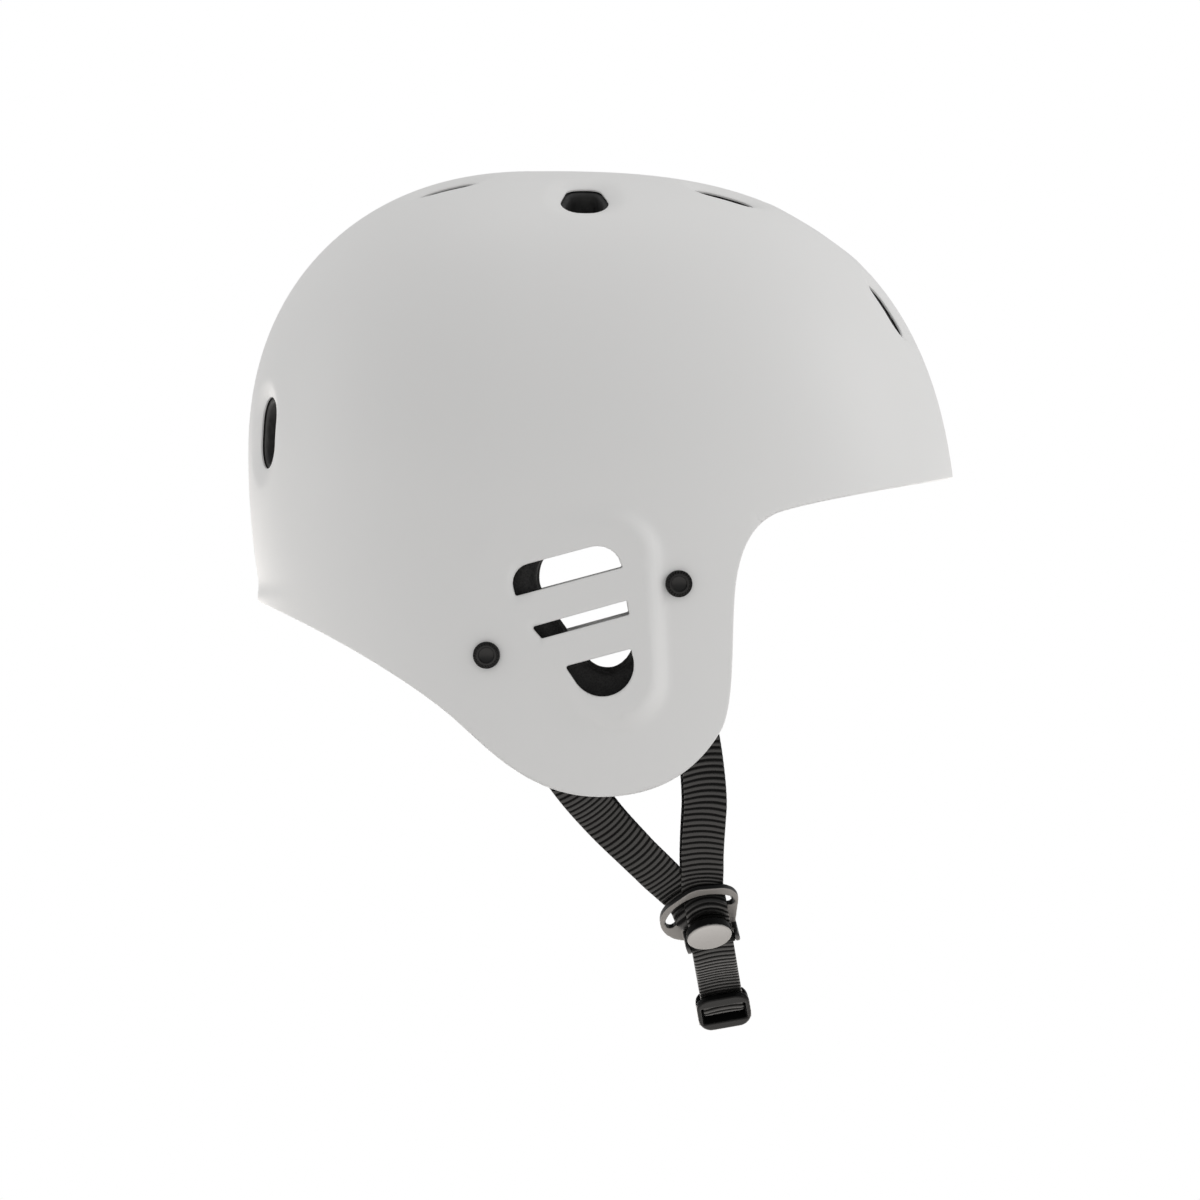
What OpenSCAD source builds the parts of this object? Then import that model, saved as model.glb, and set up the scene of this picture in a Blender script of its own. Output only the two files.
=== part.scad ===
// Full-cut skate helmet: hard shell with ear covers, foam liner, pads, webbing and chin buckle.
// X points forward, Y to the wearer's left, Z up. The origin is in the head cavity, on the
// mid plane, level with the brow edge.

/* [Shell] */
// Overall length of the shell, brow to back
shell_len = 272; // [262:1:290]
// Widest point of the shell
shell_wid = 214; // [206:1:228]
// Height of the crown above the brow edge
crown_h = 118; // [112:1:128]
// How far the ear covers hang below the brow edge
ear_drop = 121; // [116:1:128]
// Height of the back rim below the brow edge
back_drop = 45.5; // [40:0.5:50]
// Wall of the shell
wall = 3.2; // [2.6:0.1:3.8]
// How far the rear edge flares outward
rear_lip = 1.4; // [0:0.1:2]

/* [Ear covers] */
// Front edge of the ear cover, ahead of the middle of the shell
ear_front = 50.8; // [48:0.2:54]
// How far the flat ear pocket stands outside the widest point
ear_bulge = 1.2; // [0.4:0.1:2.4]
// Width of the soft step round the ear pocket
ear_step = 8; // [6:0.5:11]
// Lean of the ear slots
slot_lean = 15; // [10:1:18]

/* [Vents] */
// Length of an oval vent
vent_len = 24; // [18:1:27]
// Width of an oval vent
vent_wid = 15; // [11:1:18]
// Length and width of the blunt vent at each side of the crown
side_vent = 23; // [16:1:24]
// Width of the soft lip that leads into a vent
vent_lip = 3.5; // [1:0.5:4]

/* [Padding] */
// Thickness of the foam liner
liner_t = 20; // [17:1:23]
// Thickness of the comfort pads
pad_t = 7; // [5:0.5:9]
// Thickness of the ear pads
ear_pad_t = 12; // [9:0.5:14]
// Stack height of a hook-and-loop tab
tab_t = 1.6; // [1.2:0.1:2]
// Diameter of a hook-and-loop tab
tab_d = 12; // [9:0.5:13]

/* [Chin straps] */
// Width of the webbing
web_w = 16; // [14:0.5:18]
// Thickness of the webbing
web_t = 1.5; // [1.2:0.1:1.7]
// Depth of the buckle bars below the brow edge
chin_drop = 202; // [195:1:212]
// Roll of the chin hardware about the left-right axis
chin_roll = 10; // [6:1:13]

/* [Strap anchors] */
// Diameter of an anchor cap
cap_d = 10.4; // [9:0.2:12]
// Height of an anchor cap outside the shell
cap_h = 2; // [1.5:0.1:2.6]
// Diameter of an anchor post
post_d = 4; // [3.4:0.1:4.6]
// Diameter of the nut plate behind the strap
nut_d = 12; // [10.5:0.5:14]

/* [Strap divider] */
// Thickness of the divider plate
plate_t = 2.4; // [2:0.1:2.8]
// Width of the slot in the divider plate
plate_slot = 5; // [4.8:0.1:5.4]
// Diameter of the round lock lever
lever_d = 18; // [15:0.5:18]
// Thickness of the lock lever
lever_t = 3.4; // [2.8:0.1:4]
// Diameter of the lever's pivot pin
pivot_d = 1.8; // [1.5:0.1:2]

/* [Buckle] */
// Width of the buckle across the strap
buckle_w = 20.6; // [20:0.2:23]
// Thickness of the buckle
buckle_t = 8; // [7:0.2:9]
// Length of the buckle housing, without its strap loop
socket_len = 26; // [24:0.5:28]
// Diameter of the bars that the webbing runs round
bar_d = 3.2; // [2.8:0.1:3.4]

/* [Hidden] */

$fn = 40;
fit = 0.3;              // clearance between parts that are only laid together
run = 0.1;              // clearance round a running pin
half_l = shell_len / 2;
half_w = shell_wid / 2;
crown_back = 25;        // the crown's highest point lies this far behind the middle
brow_tuck = 2.2;        // the dome reaches this much further below the brow edge
floor_z = -ear_drop - 6;
round_end = 400;        // longer than the helmet, for cuts that run right through

// Curves and blends

function mix(a, b, k) = a + (b - a) * k;
function ease(k) = let (c = min(1, max(0, k))) c * c * (3 - 2 * c);
function unit(v) = v / norm(v);
function bezier(p, t) = let (s = 1 - t)
    p[0] * s * s * s + p[1] * 3 * s * s * t + p[2] * 3 * s * t * t + p[3] * t * t * t;
function bezier_slope(p, t) = let (s = 1 - t)
    (p[1] - p[0]) * s * s + (p[2] - p[1]) * 2 * s * t + (p[3] - p[2]) * t * t;
function bezier_chain(p, steps) = [for (k = [0 : 3 : len(p) - 4], i = [0 : steps - 1])
    bezier([p[k], p[k + 1], p[k + 2], p[k + 3]], i / steps)];
// A value that differs at the front, the side and the back of the head
function round_head(az, front, side, back) =
    let (c = cos(az)) mix(side, c > 0 ? front : back, c * c);

// Smooth dome of the shell. az is the azimuth, 0 at the brow and 90 at the left side. v is 1 at
// the crown, 0 at the level where the dome is widest, and -1 at the floor below the ear covers.

function plan_reach(az) = let (
    a = cos(az) > 0 ? half_l + crown_back + brow_tuck : half_l - crown_back - 0.7,
    m = round_head(az, 2.2, 2.25, 2.3))
    pow(pow(abs(cos(az)) / a, m) + pow(abs(sin(az)) / half_w, m), -1 / m);
function wide_level(az) = round_head(az, -55, -8, 9);
function dome_power(az) = round_head(az, 2.8, 2.25, 2.2);
function dome(az, v) = let (
    level = wide_level(az), p = dome_power(az), th = 90 * max(0, v),
    rho = pow(pow(cos(th), p) + pow(sin(th), p), -1 / p),
    z = v < 0 ? mix(level, floor_z, -v) : level + (crown_h - level) * rho * sin(th),
    tuck = round_head(az, 0.05, 0.035, 0.15) * pow(max(0, level - z) / 100, round_head(az, 2, 3.5, 2)),
    lip = rear_lip * ease(-cos(az) * 4 - 3) * ease((-back_drop + 5.5 - z) / 7),
    r = plan_reach(az) * (v < 0 ? 1 - tuck : rho * cos(th)) + lip)
    [r * cos(az) - crown_back, r * sin(az), z];
function dome_v(az, z) = let (level = wide_level(az), p = dome_power(az),
    up = (z - level) / (crown_h - level))
    z < level ? -(level - z) / (level - floor_z) : atan2(up, pow(1 - pow(up, p), 1 / p)) / 90;

// The flat ear pocket is a rounded triangle, seen from the side
pocket = [[-31, -33], [4, -31], [6, -76]];
pocket_r = 13;
pocket_tilt = 1.5;
function edge_gap(p, a, b) = let (t = (p - a) * (b - a) / ((b - a) * (b - a)))
    norm(p - mix(a, b, min(1, max(0, t))));
function pocket_gap(p) = let (
    side = [for (i = [0 : 2]) cross(pocket[(i + 1) % 3] - pocket[i], p - pocket[i])])
    max(side) < 0 ? 0
    : max(0, min([for (i = [0 : 2]) edge_gap(p, pocket[i], pocket[(i + 1) % 3])]) - pocket_r);
function skin(az, v, pockets) = let (p = dome(az, v))
    !pockets || p[2] > 15 || abs(p[1]) < half_w / 2 ? p
    : let (k = 1 - ease(pocket_gap([p[0], p[2]]) / ear_step),
        flat_y = half_w + ear_bulge + (p[0] - 18) * tan(pocket_tilt),
        y = max(abs(p[1]), mix(abs(p[1]), flat_y, k)))
    [p[0], sign(p[1]) * y, p[2]];
function skin_normal(az, v, pockets) =
    unit(cross(skin(az + 0.5, v, pockets) - skin(az - 0.5, v, pockets),
        skin(az, min(1, v + 0.004), pockets) - skin(az, v - 0.004, pockets)));
function layer(az, v, t, pockets = false) = skin(az, v, pockets) - t * skin_normal(az, v, pockets);
// Azimuth of the right side's point at a given x and z
function side_az(x, z, az = -90, n = 8) = let (
    p = dome(az, dome_v(az, z)), r = norm([p[0] + crown_back, p[1]]), dx = x + crown_back,
    next = atan2(-sqrt(max(1, r * r - dx * dx)), dx))
    n == 0 ? next : side_az(x, z, next, n - 1);
// Point and outward normal on the right side, a depth t inside the dome
function on_side(x, z, t) = let (az = side_az(x, z), v = dome_v(az, z))
    [layer(az, v, t), skin_normal(az, v, false)];

// Solids made of rings of points

function strip(a, b, n, wrap) = [for (i = [0 : n - (wrap ? 1 : 2)]) let (k = (i + 1) % n)
    each [[a + i, b + i, b + k], [a + i, b + k, a + k]]];
function flip(faces) = [for (f = faces) [f[2], f[1], f[0]]];

// Closed bowl between two depths below the skin, open downwards
module bowl(t0, t1, cols, low_rows, high_rows, pockets) {
    vs = concat([for (j = [0 : low_rows - 1]) -1 + j / low_rows],
        [for (j = [0 : high_rows - 1]) j / high_rows]);
    rows = len(vs);
    count = rows * cols;
    top = [-crown_back, 0, crown_h];
    points = concat(
        [for (v = vs, i = [0 : cols - 1]) layer(i * 360 / cols, v, t0, pockets)], [top - [0, 0, t0]],
        [for (v = vs, i = [0 : cols - 1]) layer(i * 360 / cols, v, t1, pockets)], [top - [0, 0, t1]]);
    outer = concat([for (j = [0 : rows - 2]) each strip(j * cols, (j + 1) * cols, cols, true)],
        [for (i = [0 : cols - 1]) [(rows - 1) * cols + i, count, (rows - 1) * cols + (i + 1) % cols]]);
    inner = [for (f = flip(outer)) f + [count + 1, count + 1, count + 1]];
    polyhedron(points, concat(outer, inner, strip(count + 1, 0, cols, true)), convexity = 10);
}

// Padded block on the inside of a layer, with a crowned face and sides drawn in
module pillow(az0, az1, v0, v1, t0, thick, nu = 14, nv = 9) {
    function bow(a, k) = 0.5 + (a - 0.5) * (1 - 0.07 * sin(180 * k));
    function crown(a, b) = 0.4 + 0.6 * pow((1 - pow(abs(2 * a - 1), 5)) * (1 - pow(abs(2 * b - 1), 5)), 0.6);
    function at(i, j, t) = layer(mix(az0, az1, bow(i / nu, j / nv)), mix(v0, v1, bow(j / nv, i / nu)), t);
    n = nu + 1;
    m = n * (nv + 1);
    points = concat([for (j = [0 : nv], i = [0 : nu]) at(i, j, t0)],
        [for (j = [0 : nv], i = [0 : nu]) at(i, j, t0 + thick * crown(i / nu, j / nv))]);
    back = [for (j = [0 : nv - 1]) each strip(j * n, (j + 1) * n, n, false)];
    front = [for (f = flip(back)) f + [m, m, m]];
    ends = concat(strip(m, 0, n, false), strip(nv * n, nv * n + m, n, false));
    sides = [for (j = [0 : nv - 1]) let (a = j * n, b = a + n, c = a + nu, d = b + nu)
        each [[a, a + m, b + m], [a, b + m, b], [c, d, d + m], [c, d + m, c + m]]];
    polyhedron(points, concat(back, front, ends, sides), convexity = 4);
}

// Flat band through a list of [point, face normal, bow], where bow carries the middle forward
module ribbon(path, w, t) {
    last = len(path) - 1;
    us = [-1, -0.5, 0, 0.5, 1];
    points = [for (i = [0 : last]) let (
        run_dir = unit(path[min(last, i + 1)][0] - path[max(0, i - 1)][0]),
        across = unit(cross(path[i][1], run_dir)) * w / 2,
        face = unit(cross(run_dir, across)) * t / 2,
        line = [for (u = us) path[i][0] + across * u + path[i][2] * (1 - u * u)])
        each concat([for (q = line) q - face], [for (k = [4 : -1 : 0]) line[k] + face])];
    rings = [for (i = [0 : last - 1]) each strip(10 * i, 10 * i + 10, 10, true)];
    polyhedron(points, concat(rings, [[for (k = [0 : 9]) k]], [[for (k = [9 : -1 : 0]) 10 * last + k]]),
        convexity = 8);
}

// Stands a shape on the skin: its Z is the outward normal, its Y the projected direction long
module on_skin(az, z, long, t = 0) {
    v = dome_v(az, z);
    n = skin_normal(az, v, false);
    p = layer(az, v, t);
    y = unit(long - (long * n) * n);
    x = cross(y, n);
    multmatrix([[x[0], y[0], n[0], p[0]], [x[1], y[1], n[1], p[1]], [x[2], y[2], n[2], p[2]], [0, 0, 0, 1]])
        children();
}
module both_sides() {
    children();
    mirror([0, 1, 0]) children();
}
// Side view outline of the right and left sides, cut or raised along Y
module through_y(y0 = -round_end / 2, y1 = round_end / 2) {
    translate([0, y1, 0]) rotate([90, 0, 0]) linear_extrude(y1 - y0) children();
}

// Shell

ear_low = -ear_drop;
rim_curve = [[-half_l - 1, -back_drop], [-half_l + 18, -back_drop - 6.5], [-80, ear_low + 50],
    [-56.6, ear_low + 30.7], [-43, ear_low + 19], [-27, ear_low], [0, ear_low],
    [24, ear_low], [ear_front - 13, ear_low + 11], [ear_front - 4.4, ear_low + 26],
    [ear_front, ear_low + 36], [ear_front - 0.8, ear_low + 56], [ear_front, ear_low + 71],
    [ear_front + 0.5, -32], [ear_front + 5, -18], [ear_front + 17, -13.5],
    [ear_front + 31, -9], [half_l - 21, -3.5], [half_l + 4, 0.5]];
module below_rim() {
    polygon(concat(bezier_chain(rim_curve, 7), [[half_l + 4, 0.5], [half_l + 40, 1],
        [half_l + 40, floor_z - 40], [-half_l - 40, floor_z - 40], [-half_l - 40, -back_drop + 2]]));
}

// Ear slots, in a frame turned by the slot lean about the middle of the pocket
slot_mid = [-10, -50];
module slot_top() {
    hull() {
        translate([-12.4, 3.7]) circle(7.5);
        translate([12.2, 1.5]) circle(9.7);
        translate([-19, 1.4]) circle(0.8);
        translate([21, 1.4]) circle(0.8);
        translate([0, 0.6]) square(1);
    }
}
module slot_shape(k) {
    if (k == 0) translate([0, 9.8]) intersection() {
        slot_top();
        translate([-30, 0.6]) square([60, 10.6]);
    }
    if (k == 1) polygon([[-14.5, -7.6], [19.8, -7.4], [20.3, -2], [-17, -2.4]]);
    if (k == 2) hull() {
        intersection() {
            translate([5, -23]) circle(12);
            translate([-30, -50]) square([60, 30]);
        }
        translate([-7.8, -20.8]) circle(0.8);
        translate([16.2, -20.8]) circle(0.8);
    }
}
module ear_slots(grow = 0) {
    translate(slot_mid) rotate(slot_lean) for (k = [0 : 2]) offset(grow) slot_shape(k);
}

// Vents: azimuth, height on the dome, direction of the long axis, how much larger all round
oval_vents = [[-147.5, 112.7, [1, 0, 0], 0], [-16, 109.5, [1, 0, 0], 0], [-7.6, 65.5, [0, 0, 1], 0],
    [-158.3, 17.2, [0, 0, 1], 2]];
crown_vent = [-68.5, 108, [0, 0, 1]];
front_vent = [0, 96, [1, 0, 0]];
module vent_oval(grow) {
    hull() {
        for (s = [-1, 1]) translate([0, s * (vent_len - vent_wid) / 2]) circle(vent_wid / 2 + grow, $fn = 24);
    }
}
module vent_blunt(grow) {
    hull() {
        translate([0, side_vent * 0.27]) circle(side_vent * 0.23 + grow, $fn = 24);
        for (s = [-1, 1]) translate([s * side_vent * 0.2, -side_vent * 0.16])
            circle(side_vent * 0.3 + grow, $fn = 24);
        translate([0, -side_vent * 0.1]) circle(side_vent * 0.4 + grow, $fn = 24);
    }
}
module vent_cut(kind, lip, deep, more = 0) {
    translate([0, 0, -deep]) linear_extrude(deep + 10) vent_shape(kind, more - (lip > 0 ? 0 : 2));
    if (lip > 0) hull() {
        translate([0, 0, 1]) linear_extrude(0.01) vent_shape(kind, lip + more);
        translate([0, 0, -wall * 0.6]) linear_extrude(0.01) vent_shape(kind, more);
    }
}
module vent_shape(kind, grow) {
    if (kind == 0) vent_oval(grow);
    else vent_blunt(grow);
}
module all_vents(lip, deep) {
    both_sides() {
        for (v = oval_vents) on_skin(v[0], v[1], v[2]) vent_cut(0, lip, deep, v[3]);
        on_skin(crown_vent[0], crown_vent[1], crown_vent[2]) vent_cut(1, lip, deep);
    }
    on_skin(front_vent[0], front_vent[1], front_vent[2]) vent_cut(0, lip, deep);
}

// Strap anchors: forward place and height of the front and the rear one
anchor_front = [29.6, -40.4];
anchor_rear = [-42.7, -67.3];
cap_under = 0.3;        // underside of an anchor cap above the skin
module at_anchor(a) {
    on_skin(side_az(a[0], a[1]), a[1], [0, 0, 1]) children();
}

module outer_shell() {
    color("whitesmoke") difference() {
        bowl(0, wall, 84, 12, 12, true);
        through_y() below_rim();
        through_y() ear_slots();
        all_vents(vent_lip, 12);
        both_sides() for (a = [anchor_front, anchor_rear]) at_anchor(a) {
            translate([0, 0, -12]) cylinder(d = post_d + 2 * fit, h = 20);
            translate([0, 0, cap_under / 2]) cylinder(d = cap_d + 2 * fit, h = 8);
        }
    }
}

// Foam liner: stops above the ears and runs down behind them
liner_out = wall + 2 * fit;
liner_in = liner_out + liner_t;
well_back = -66;
well_top = -13;
module liner_cut() {
    offset(6) below_rim();
    offset(-10) offset(10) polygon([[well_back, floor_z - 60], [well_back, well_top - 2],
        [well_back + 4, well_top], [half_l + 40, well_top], [half_l + 40, floor_z - 60]]);
}
module foam_liner() {
    color("#1c1c1e") difference() {
        bowl(liner_out, liner_in, 60, 6, 10, false);
        through_y() liner_cut();
        all_vents(0, liner_in + 20);
    }
}

// Ear pads: ring cushions round the ear opening
nut_at = wall + 2 * fit + web_t + 0.15;      // depth of the strap anchors' nut plates
ear_hole = [[-8, -36, 15.5], [5, -36, 12], [3.8, -62.9, 10.5]];
ear_rim = [[-44, -32, 13], [30, -32, 13], [22, -86, 20], [0, -91, 20], [-40, -60, 12]];
ear_back = nut_at + 2 + fit;      // the webbing and its nuts lie between the pad and the shell
ear_section = [[0, 0], [0.5, 0], [1, 0], [1.02, 0.35], [0.98, 0.72], [0.82, 0.95], [0.5, 1],
    [0.18, 0.95], [0.02, 0.72], [-0.02, 0.35]];
function hull_point(rings, a) = let (d = [cos(a), sin(a)],
    far = [for (r = rings) [r[0], r[1]] * d + r[2]],
    k = search(max(far), far)[0])
    [rings[k][0], rings[k][1]] + rings[k][2] * d;
module ear_pad() {
    sides = 44;
    n = len(ear_section);
    points = [for (i = [0 : sides - 1]) let (a = i * 360 / sides,
        hole = hull_point(ear_hole, a), rim = hull_point(ear_rim, a))
        each [for (s = ear_section) let (p = mix(hole, rim, s[0]))
            on_side(p[0], p[1], ear_back + s[1] * ear_pad_t)[0]]];
    faces = [for (i = [0 : sides - 1]) each strip(i * n, ((i + 1) % sides) * n, n, true)];
    color("#17171a") polyhedron(points, faces, convexity = 8);
}
module ear_pad_right() { ear_pad(); }
module ear_pad_left() { mirror([0, 1, 0]) ear_pad(); }
ear_tabs = [[-40, -44], [14, -23], [4, -96]];
module ear_pad_tabs() {
    color("dimgray") both_sides() for (p = ear_tabs)
        on_skin(side_az(p[0], p[1]), p[1], [0, 0, 1], ear_back - fit / 2)
            cylinder(d = tab_d * 0.7, h = ear_back - wall - 2 * fit);
}

// Comfort pads inside the liner: azimuth range, range of v
pad_back = liner_in + tab_t + fit;
brow_area = [-46, 46, 0.21, 0.35];
nape_area = [148, 212, -0.2, 0.16];
side_area = [-116, -66, 0.12, 0.42];
crown_area = 0.3;         // the crown pad's share of the way from the crown to the widest level
module pad_on(a, n = 14, m = 8) {
    color("#232326") pillow(a[0], a[1], a[2], a[3], pad_back, pad_t, n, m);
}
module brow_pad() { pad_on(brow_area, 20, 6); }
module nape_pad() { pad_on(nape_area); }
module side_pad_right() { pad_on(side_area); }
module side_pad_left() { mirror([0, 1, 0]) pad_on(side_area); }
// Round pad under the crown, drawn in at its edge
module crown_pad() {
    edge = [0.12, 0.3, 0.55, 0.8, 0.95, 1];
    cols = 30;
    n = len(edge);
    top = [-crown_back, 0, crown_h - pad_back];
    points = concat([for (k = edge, i = [0 : cols - 1]) layer(i * 360 / cols, 1 - crown_area * k, pad_back)],
        [top], [for (k = edge, i = [0 : cols - 1])
            layer(i * 360 / cols, 1 - crown_area * k, pad_back + pad_t * (1 - 0.55 * pow(k, 8)))],
        [top - [0, 0, pad_t]]);
    back = concat([for (j = [0 : n - 2]) each strip((j + 1) * cols, j * cols, cols, true)],
        [for (i = [0 : cols - 1]) [i, n * cols, (i + 1) % cols]]);
    front = [for (f = flip(back)) f + [n * cols + 1, n * cols + 1, n * cols + 1]];
    rim = (n - 1) * cols;
    color("#232326") polyhedron(points, concat(back, front,
        strip(rim + n * cols + 1, rim, cols, true)), convexity = 4);
}
tab_spots = [[-30, 0.28], [0, 0.28], [30, 0.28], [162, 0], [198, 0], [-106, 0.27], [-76, 0.27],
    [106, 0.27], [76, 0.27]];
module pad_tabs() {
    color("dimgray") {
        for (s = tab_spots) let (p = dome(s[0], s[1]))
            on_skin(s[0], p[2], [0, 0, 1], liner_in + tab_t + fit * 0.5) cylinder(d = tab_d, h = tab_t - 3 * fit);
        translate([-crown_back, 0, crown_h - liner_in - tab_t]) cylinder(d = tab_d, h = tab_t - 3 * fit);
    }
}

// Chin webbing: hangs in a curve from the rim of the ear covers down to the buckle bars
strap_in = wall + fit + web_t / 2;
bar_out = 23.2;                                // sideways distance of a buckle bar from the mid plane
body_z = -chin_drop - 5.2;                     // middle level of the buckle
chin_x = 48;                                 // forward place of the buckle
hang_top = [on_side(40, ear_low + 13, strap_in)[0][1] + 0.6, ear_low + 11];
hang_curve = [hang_top, hang_top + [4.5, -45], [-bar_out - 29.7, -chin_drop + 18.5], [-bar_out, -chin_drop]];
left_sag = 3.8;                                // the left strap hangs this much lower at its middle
sag_end = 0.84;                                // its buckle bar isn't lower
$sag = 0;
function hang(t) = bezier(hang_curve, t) - [0, $sag * sqrt(sin(180 * min(1, t / sag_end)))];
function hang_tilt(t) = let (d = bezier_slope(hang_curve, t)) atan2(d[0], -d[1]);
function hang_x(z) = chin_x - (z - body_z) * tan(chin_roll);
function hang_t(z, a = 0, b = 1, n = 16) = let (m = (a + b) / 2)
    n == 0 ? m : hang(m)[1] > z ? hang_t(z, m, b, n - 1) : hang_t(z, a, m, n - 1);
// Axes of the chin hardware: across the strap, up along it, and outward
across_dir = [cos(chin_roll), 0, sin(chin_roll)];
function up_dir(tilt) = [-sin(chin_roll) * cos(tilt), -sin(tilt), cos(chin_roll) * cos(tilt)];
function out_dir(tilt) = [sin(chin_roll) * sin(tilt), -cos(tilt), -cos(chin_roll) * sin(tilt)];
module chin_frame(p, tilt) {
    x = across_dir;
    y = up_dir(tilt);
    z = out_dir(tilt);
    multmatrix([[x[0], y[0], z[0], p[0]], [x[1], y[1], z[1], p[1]], [x[2], y[2], z[2], p[2]], [0, 0, 0, 1]])
        children();
}
module left_side() {
    $sag = left_sag;
    mirror([0, 1, 0]) children();
}
module at_hang(t) {
    p = hang(t);
    chin_frame([hang_x(p[1]), p[0], p[1]], hang_tilt(t)) children();
}

// Frame of the divider: X across the strap, Y up along it, Z outward
plate_at = 0.5;           // place of the divider along the hanging curve
plate_tilt = hang_tilt(plate_at) + 3;
ply = web_t + 0.3;        // spacing of the two layers of webbing
wrap_r = bar_d / 2 + 0.2 + web_t / 2;
side_off = plate_t / 2 + fit + ply / 2 + web_t / 2;
function plate_dir(q) = q[0] * across_dir + q[1] * up_dir(plate_tilt) + q[2] * out_dir(plate_tilt);
function on_plate(q) = let (p = hang(plate_at)) [hang_x(p[1]), p[0], p[1]] + plate_dir(q);
module at_plate() {
    p = hang(plate_at);
    chin_frame([hang_x(p[1]), p[0], p[1]], plate_tilt) children();
}

// The slot is an arc. Both layers come from behind the plate, pass the slot and lie in front of it
arc_mid = [0, -6.2];
arc_r = 15.1;
bend_r = 2.2;
bend_a = 70;
function s_bend() = let (
    rise = bend_r * (1 - cos(bend_a)),
    far = (side_off - rise) / tan(bend_a) + bend_r * sin(bend_a),
    half = concat([[far + 3, -side_off]], [for (a = [0, bend_a / 2, bend_a])
        [far - bend_r * sin(a), bend_r * (1 - cos(a)) - side_off]]))
    concat(half, [for (i = [3 : -1 : 0]) -half[i]]);
function bend_layer(side) = let (q = s_bend()) [for (i = [0 : 7])
    let (t = unit(q[min(7, i + 1)] - q[max(0, i - 1)])) q[i] + side * ply / 2 * [t[1], -t[0]]];
// Rings of webbing through the slot, with the strap's axis turned about the arc's middle
function slot_run(turn, side) = [for (i = [0 : 6]) let (
    q = bend_layer(side)[i], r = arc_r + q[0], flat = sqrt(r * r - web_w * web_w / 4), d = [-sin(turn), cos(turn)])
    [on_plate([arc_mid[0] + d[0] * flat, arc_mid[1] + d[1] * flat, q[1]]), out_dir(plate_tilt),
        plate_dir([d[0], d[1], 0]) * (r - flat)]];
// Rings lying on the plate: a list of [x, y, bow]
function flat_run(list, side) = [for (q = list)
    [on_plate([q[0], q[1], side_off + side * ply / 2]), out_dir(plate_tilt), plate_dir([0, q[2], 0])]];
function hang_run(ts, offset, side, x_top = 0) = [for (t = ts) let (
    p = hang(t), n = out_dir(hang_tilt(t)), k = x_top == 0 ? 1 : ease((t - 0.08) / 0.5))
    [[mix(x_top, hang_x(p[1]), k), p[0], p[1]]
        + n * (offset * (1 - ease((t - 0.66) / 0.18)) + side * ply / 2), n, [0, 0, 0]]];
// Turn round the buckle bar, from the outer layer to the inner one
function bar_turn() = let (p = hang(1), tilt = hang_tilt(1), u = up_dir(tilt), n = out_dir(tilt),
    c = [hang_x(p[1]), p[0], p[1]], o = [0, 0, 0])
    concat([[c + u * 6.4 + n * ply / 2, n, o], [c + u * 3.4 + n * wrap_r * 0.85, n, o]],
        [for (a = [0 : 36 : 180]) let (d = n * cos(a) - u * sin(a)) [c + d * wrap_r, d, o]],
        [[c + u * 3.4 - n * wrap_r * 0.85, -n, o], [c + u * 6.4 - n * ply / 2, -n, o]]);
front_in = [[28, -30], anchor_front, [33, -66], [37, -92], [39.5, ear_low + 14]];
rear_in = [[-49, -57], anchor_rear, [-34, -81], [-23, -98], [-10, ear_low + 4]];
rear_out = [[2, -131, 0.5], [14, -143.2, 0.8], [22.5, -151.6, 0.95]];      // and the share of the sag
rear_turn = 30;            // the rear strap enters the slot at this angle
low_ts = [0.7, 0.74, 0.78, 0.82, 0.86];
function inner_side(list) = [for (q = list) let (k = on_side(q[0], q[1], strap_in)) [k[0], k[1], [0, 0, 0]]];
function turned(path) = [for (i = [len(path) - 1 : -1 : 0]) [path[i][0], -path[i][1], path[i][2]]];
function strap_path() = concat(inner_side(front_in),
    hang_run([0.1, 0.16, 0.22, 0.28, 0.33], -0.3, 0, 40),
    slot_run(0, 1),
    flat_run([[0, 0.5, 1.5], [0, -5, 0.3], [0, -13, 0], [0, -20, 0]], 1),
    hang_run(low_ts, side_off, 1),
    bar_turn(),
    turned(concat(
        inner_side(rear_in),
        [for (q = rear_out) let (t = hang_t(q[1] - q[2] * $sag), p = hang(t), n = out_dir(hang_tilt(t)))
            [[q[0], p[0], p[1]] - n * 2.2 * ease(t / 0.2), n, [0, 0, 0]]],
        slot_run(rear_turn, -1),
        flat_run([[-2.2, -0.6, 1.2], [-0.1, -4.2, 0.4], [0, -9.5, 0], [0, -14.5, 0], [0, -20, 0]], -1),
        hang_run(low_ts, side_off, -1))));
module chin_strap() {
    color("#151515") difference() {
        ribbon(strap_path(), web_w, web_t);
        for (a = [anchor_front, anchor_rear]) at_anchor(a)
            translate([0, 0, -16]) cylinder(d = post_d + 2 * run, h = 14);
    }
}
module chin_strap_right() { chin_strap(); }
module chin_strap_left() { left_side() chin_strap(); }

// Anchors: a knurled cap outside with a post through shell and strap, and a nut plate inside
module anchor() {
    color("#202020") {
        rotate_extrude($fn = 48) polygon([[0, cap_under], [0, cap_h * 0.75], [cap_d * 0.24, cap_h * 0.8],
            [cap_d * 0.28, cap_h * 0.62], [cap_d * 0.36, cap_h * 0.62], [cap_d * 0.4, cap_h],
            [cap_d * 0.47, cap_h * 0.92], [cap_d / 2, cap_h * 0.6], [cap_d / 2, cap_under]]);
        translate([0, 0, -nut_at - 2]) cylinder(d = post_d, h = nut_at + 2.5);
    }
}
module anchor_front_right() { at_anchor(anchor_front) anchor(); }
module anchor_rear_right() { at_anchor(anchor_rear) anchor(); }
module anchor_front_left() { mirror([0, 1, 0]) at_anchor(anchor_front) anchor(); }
module anchor_rear_left() { mirror([0, 1, 0]) at_anchor(anchor_rear) anchor(); }
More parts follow.
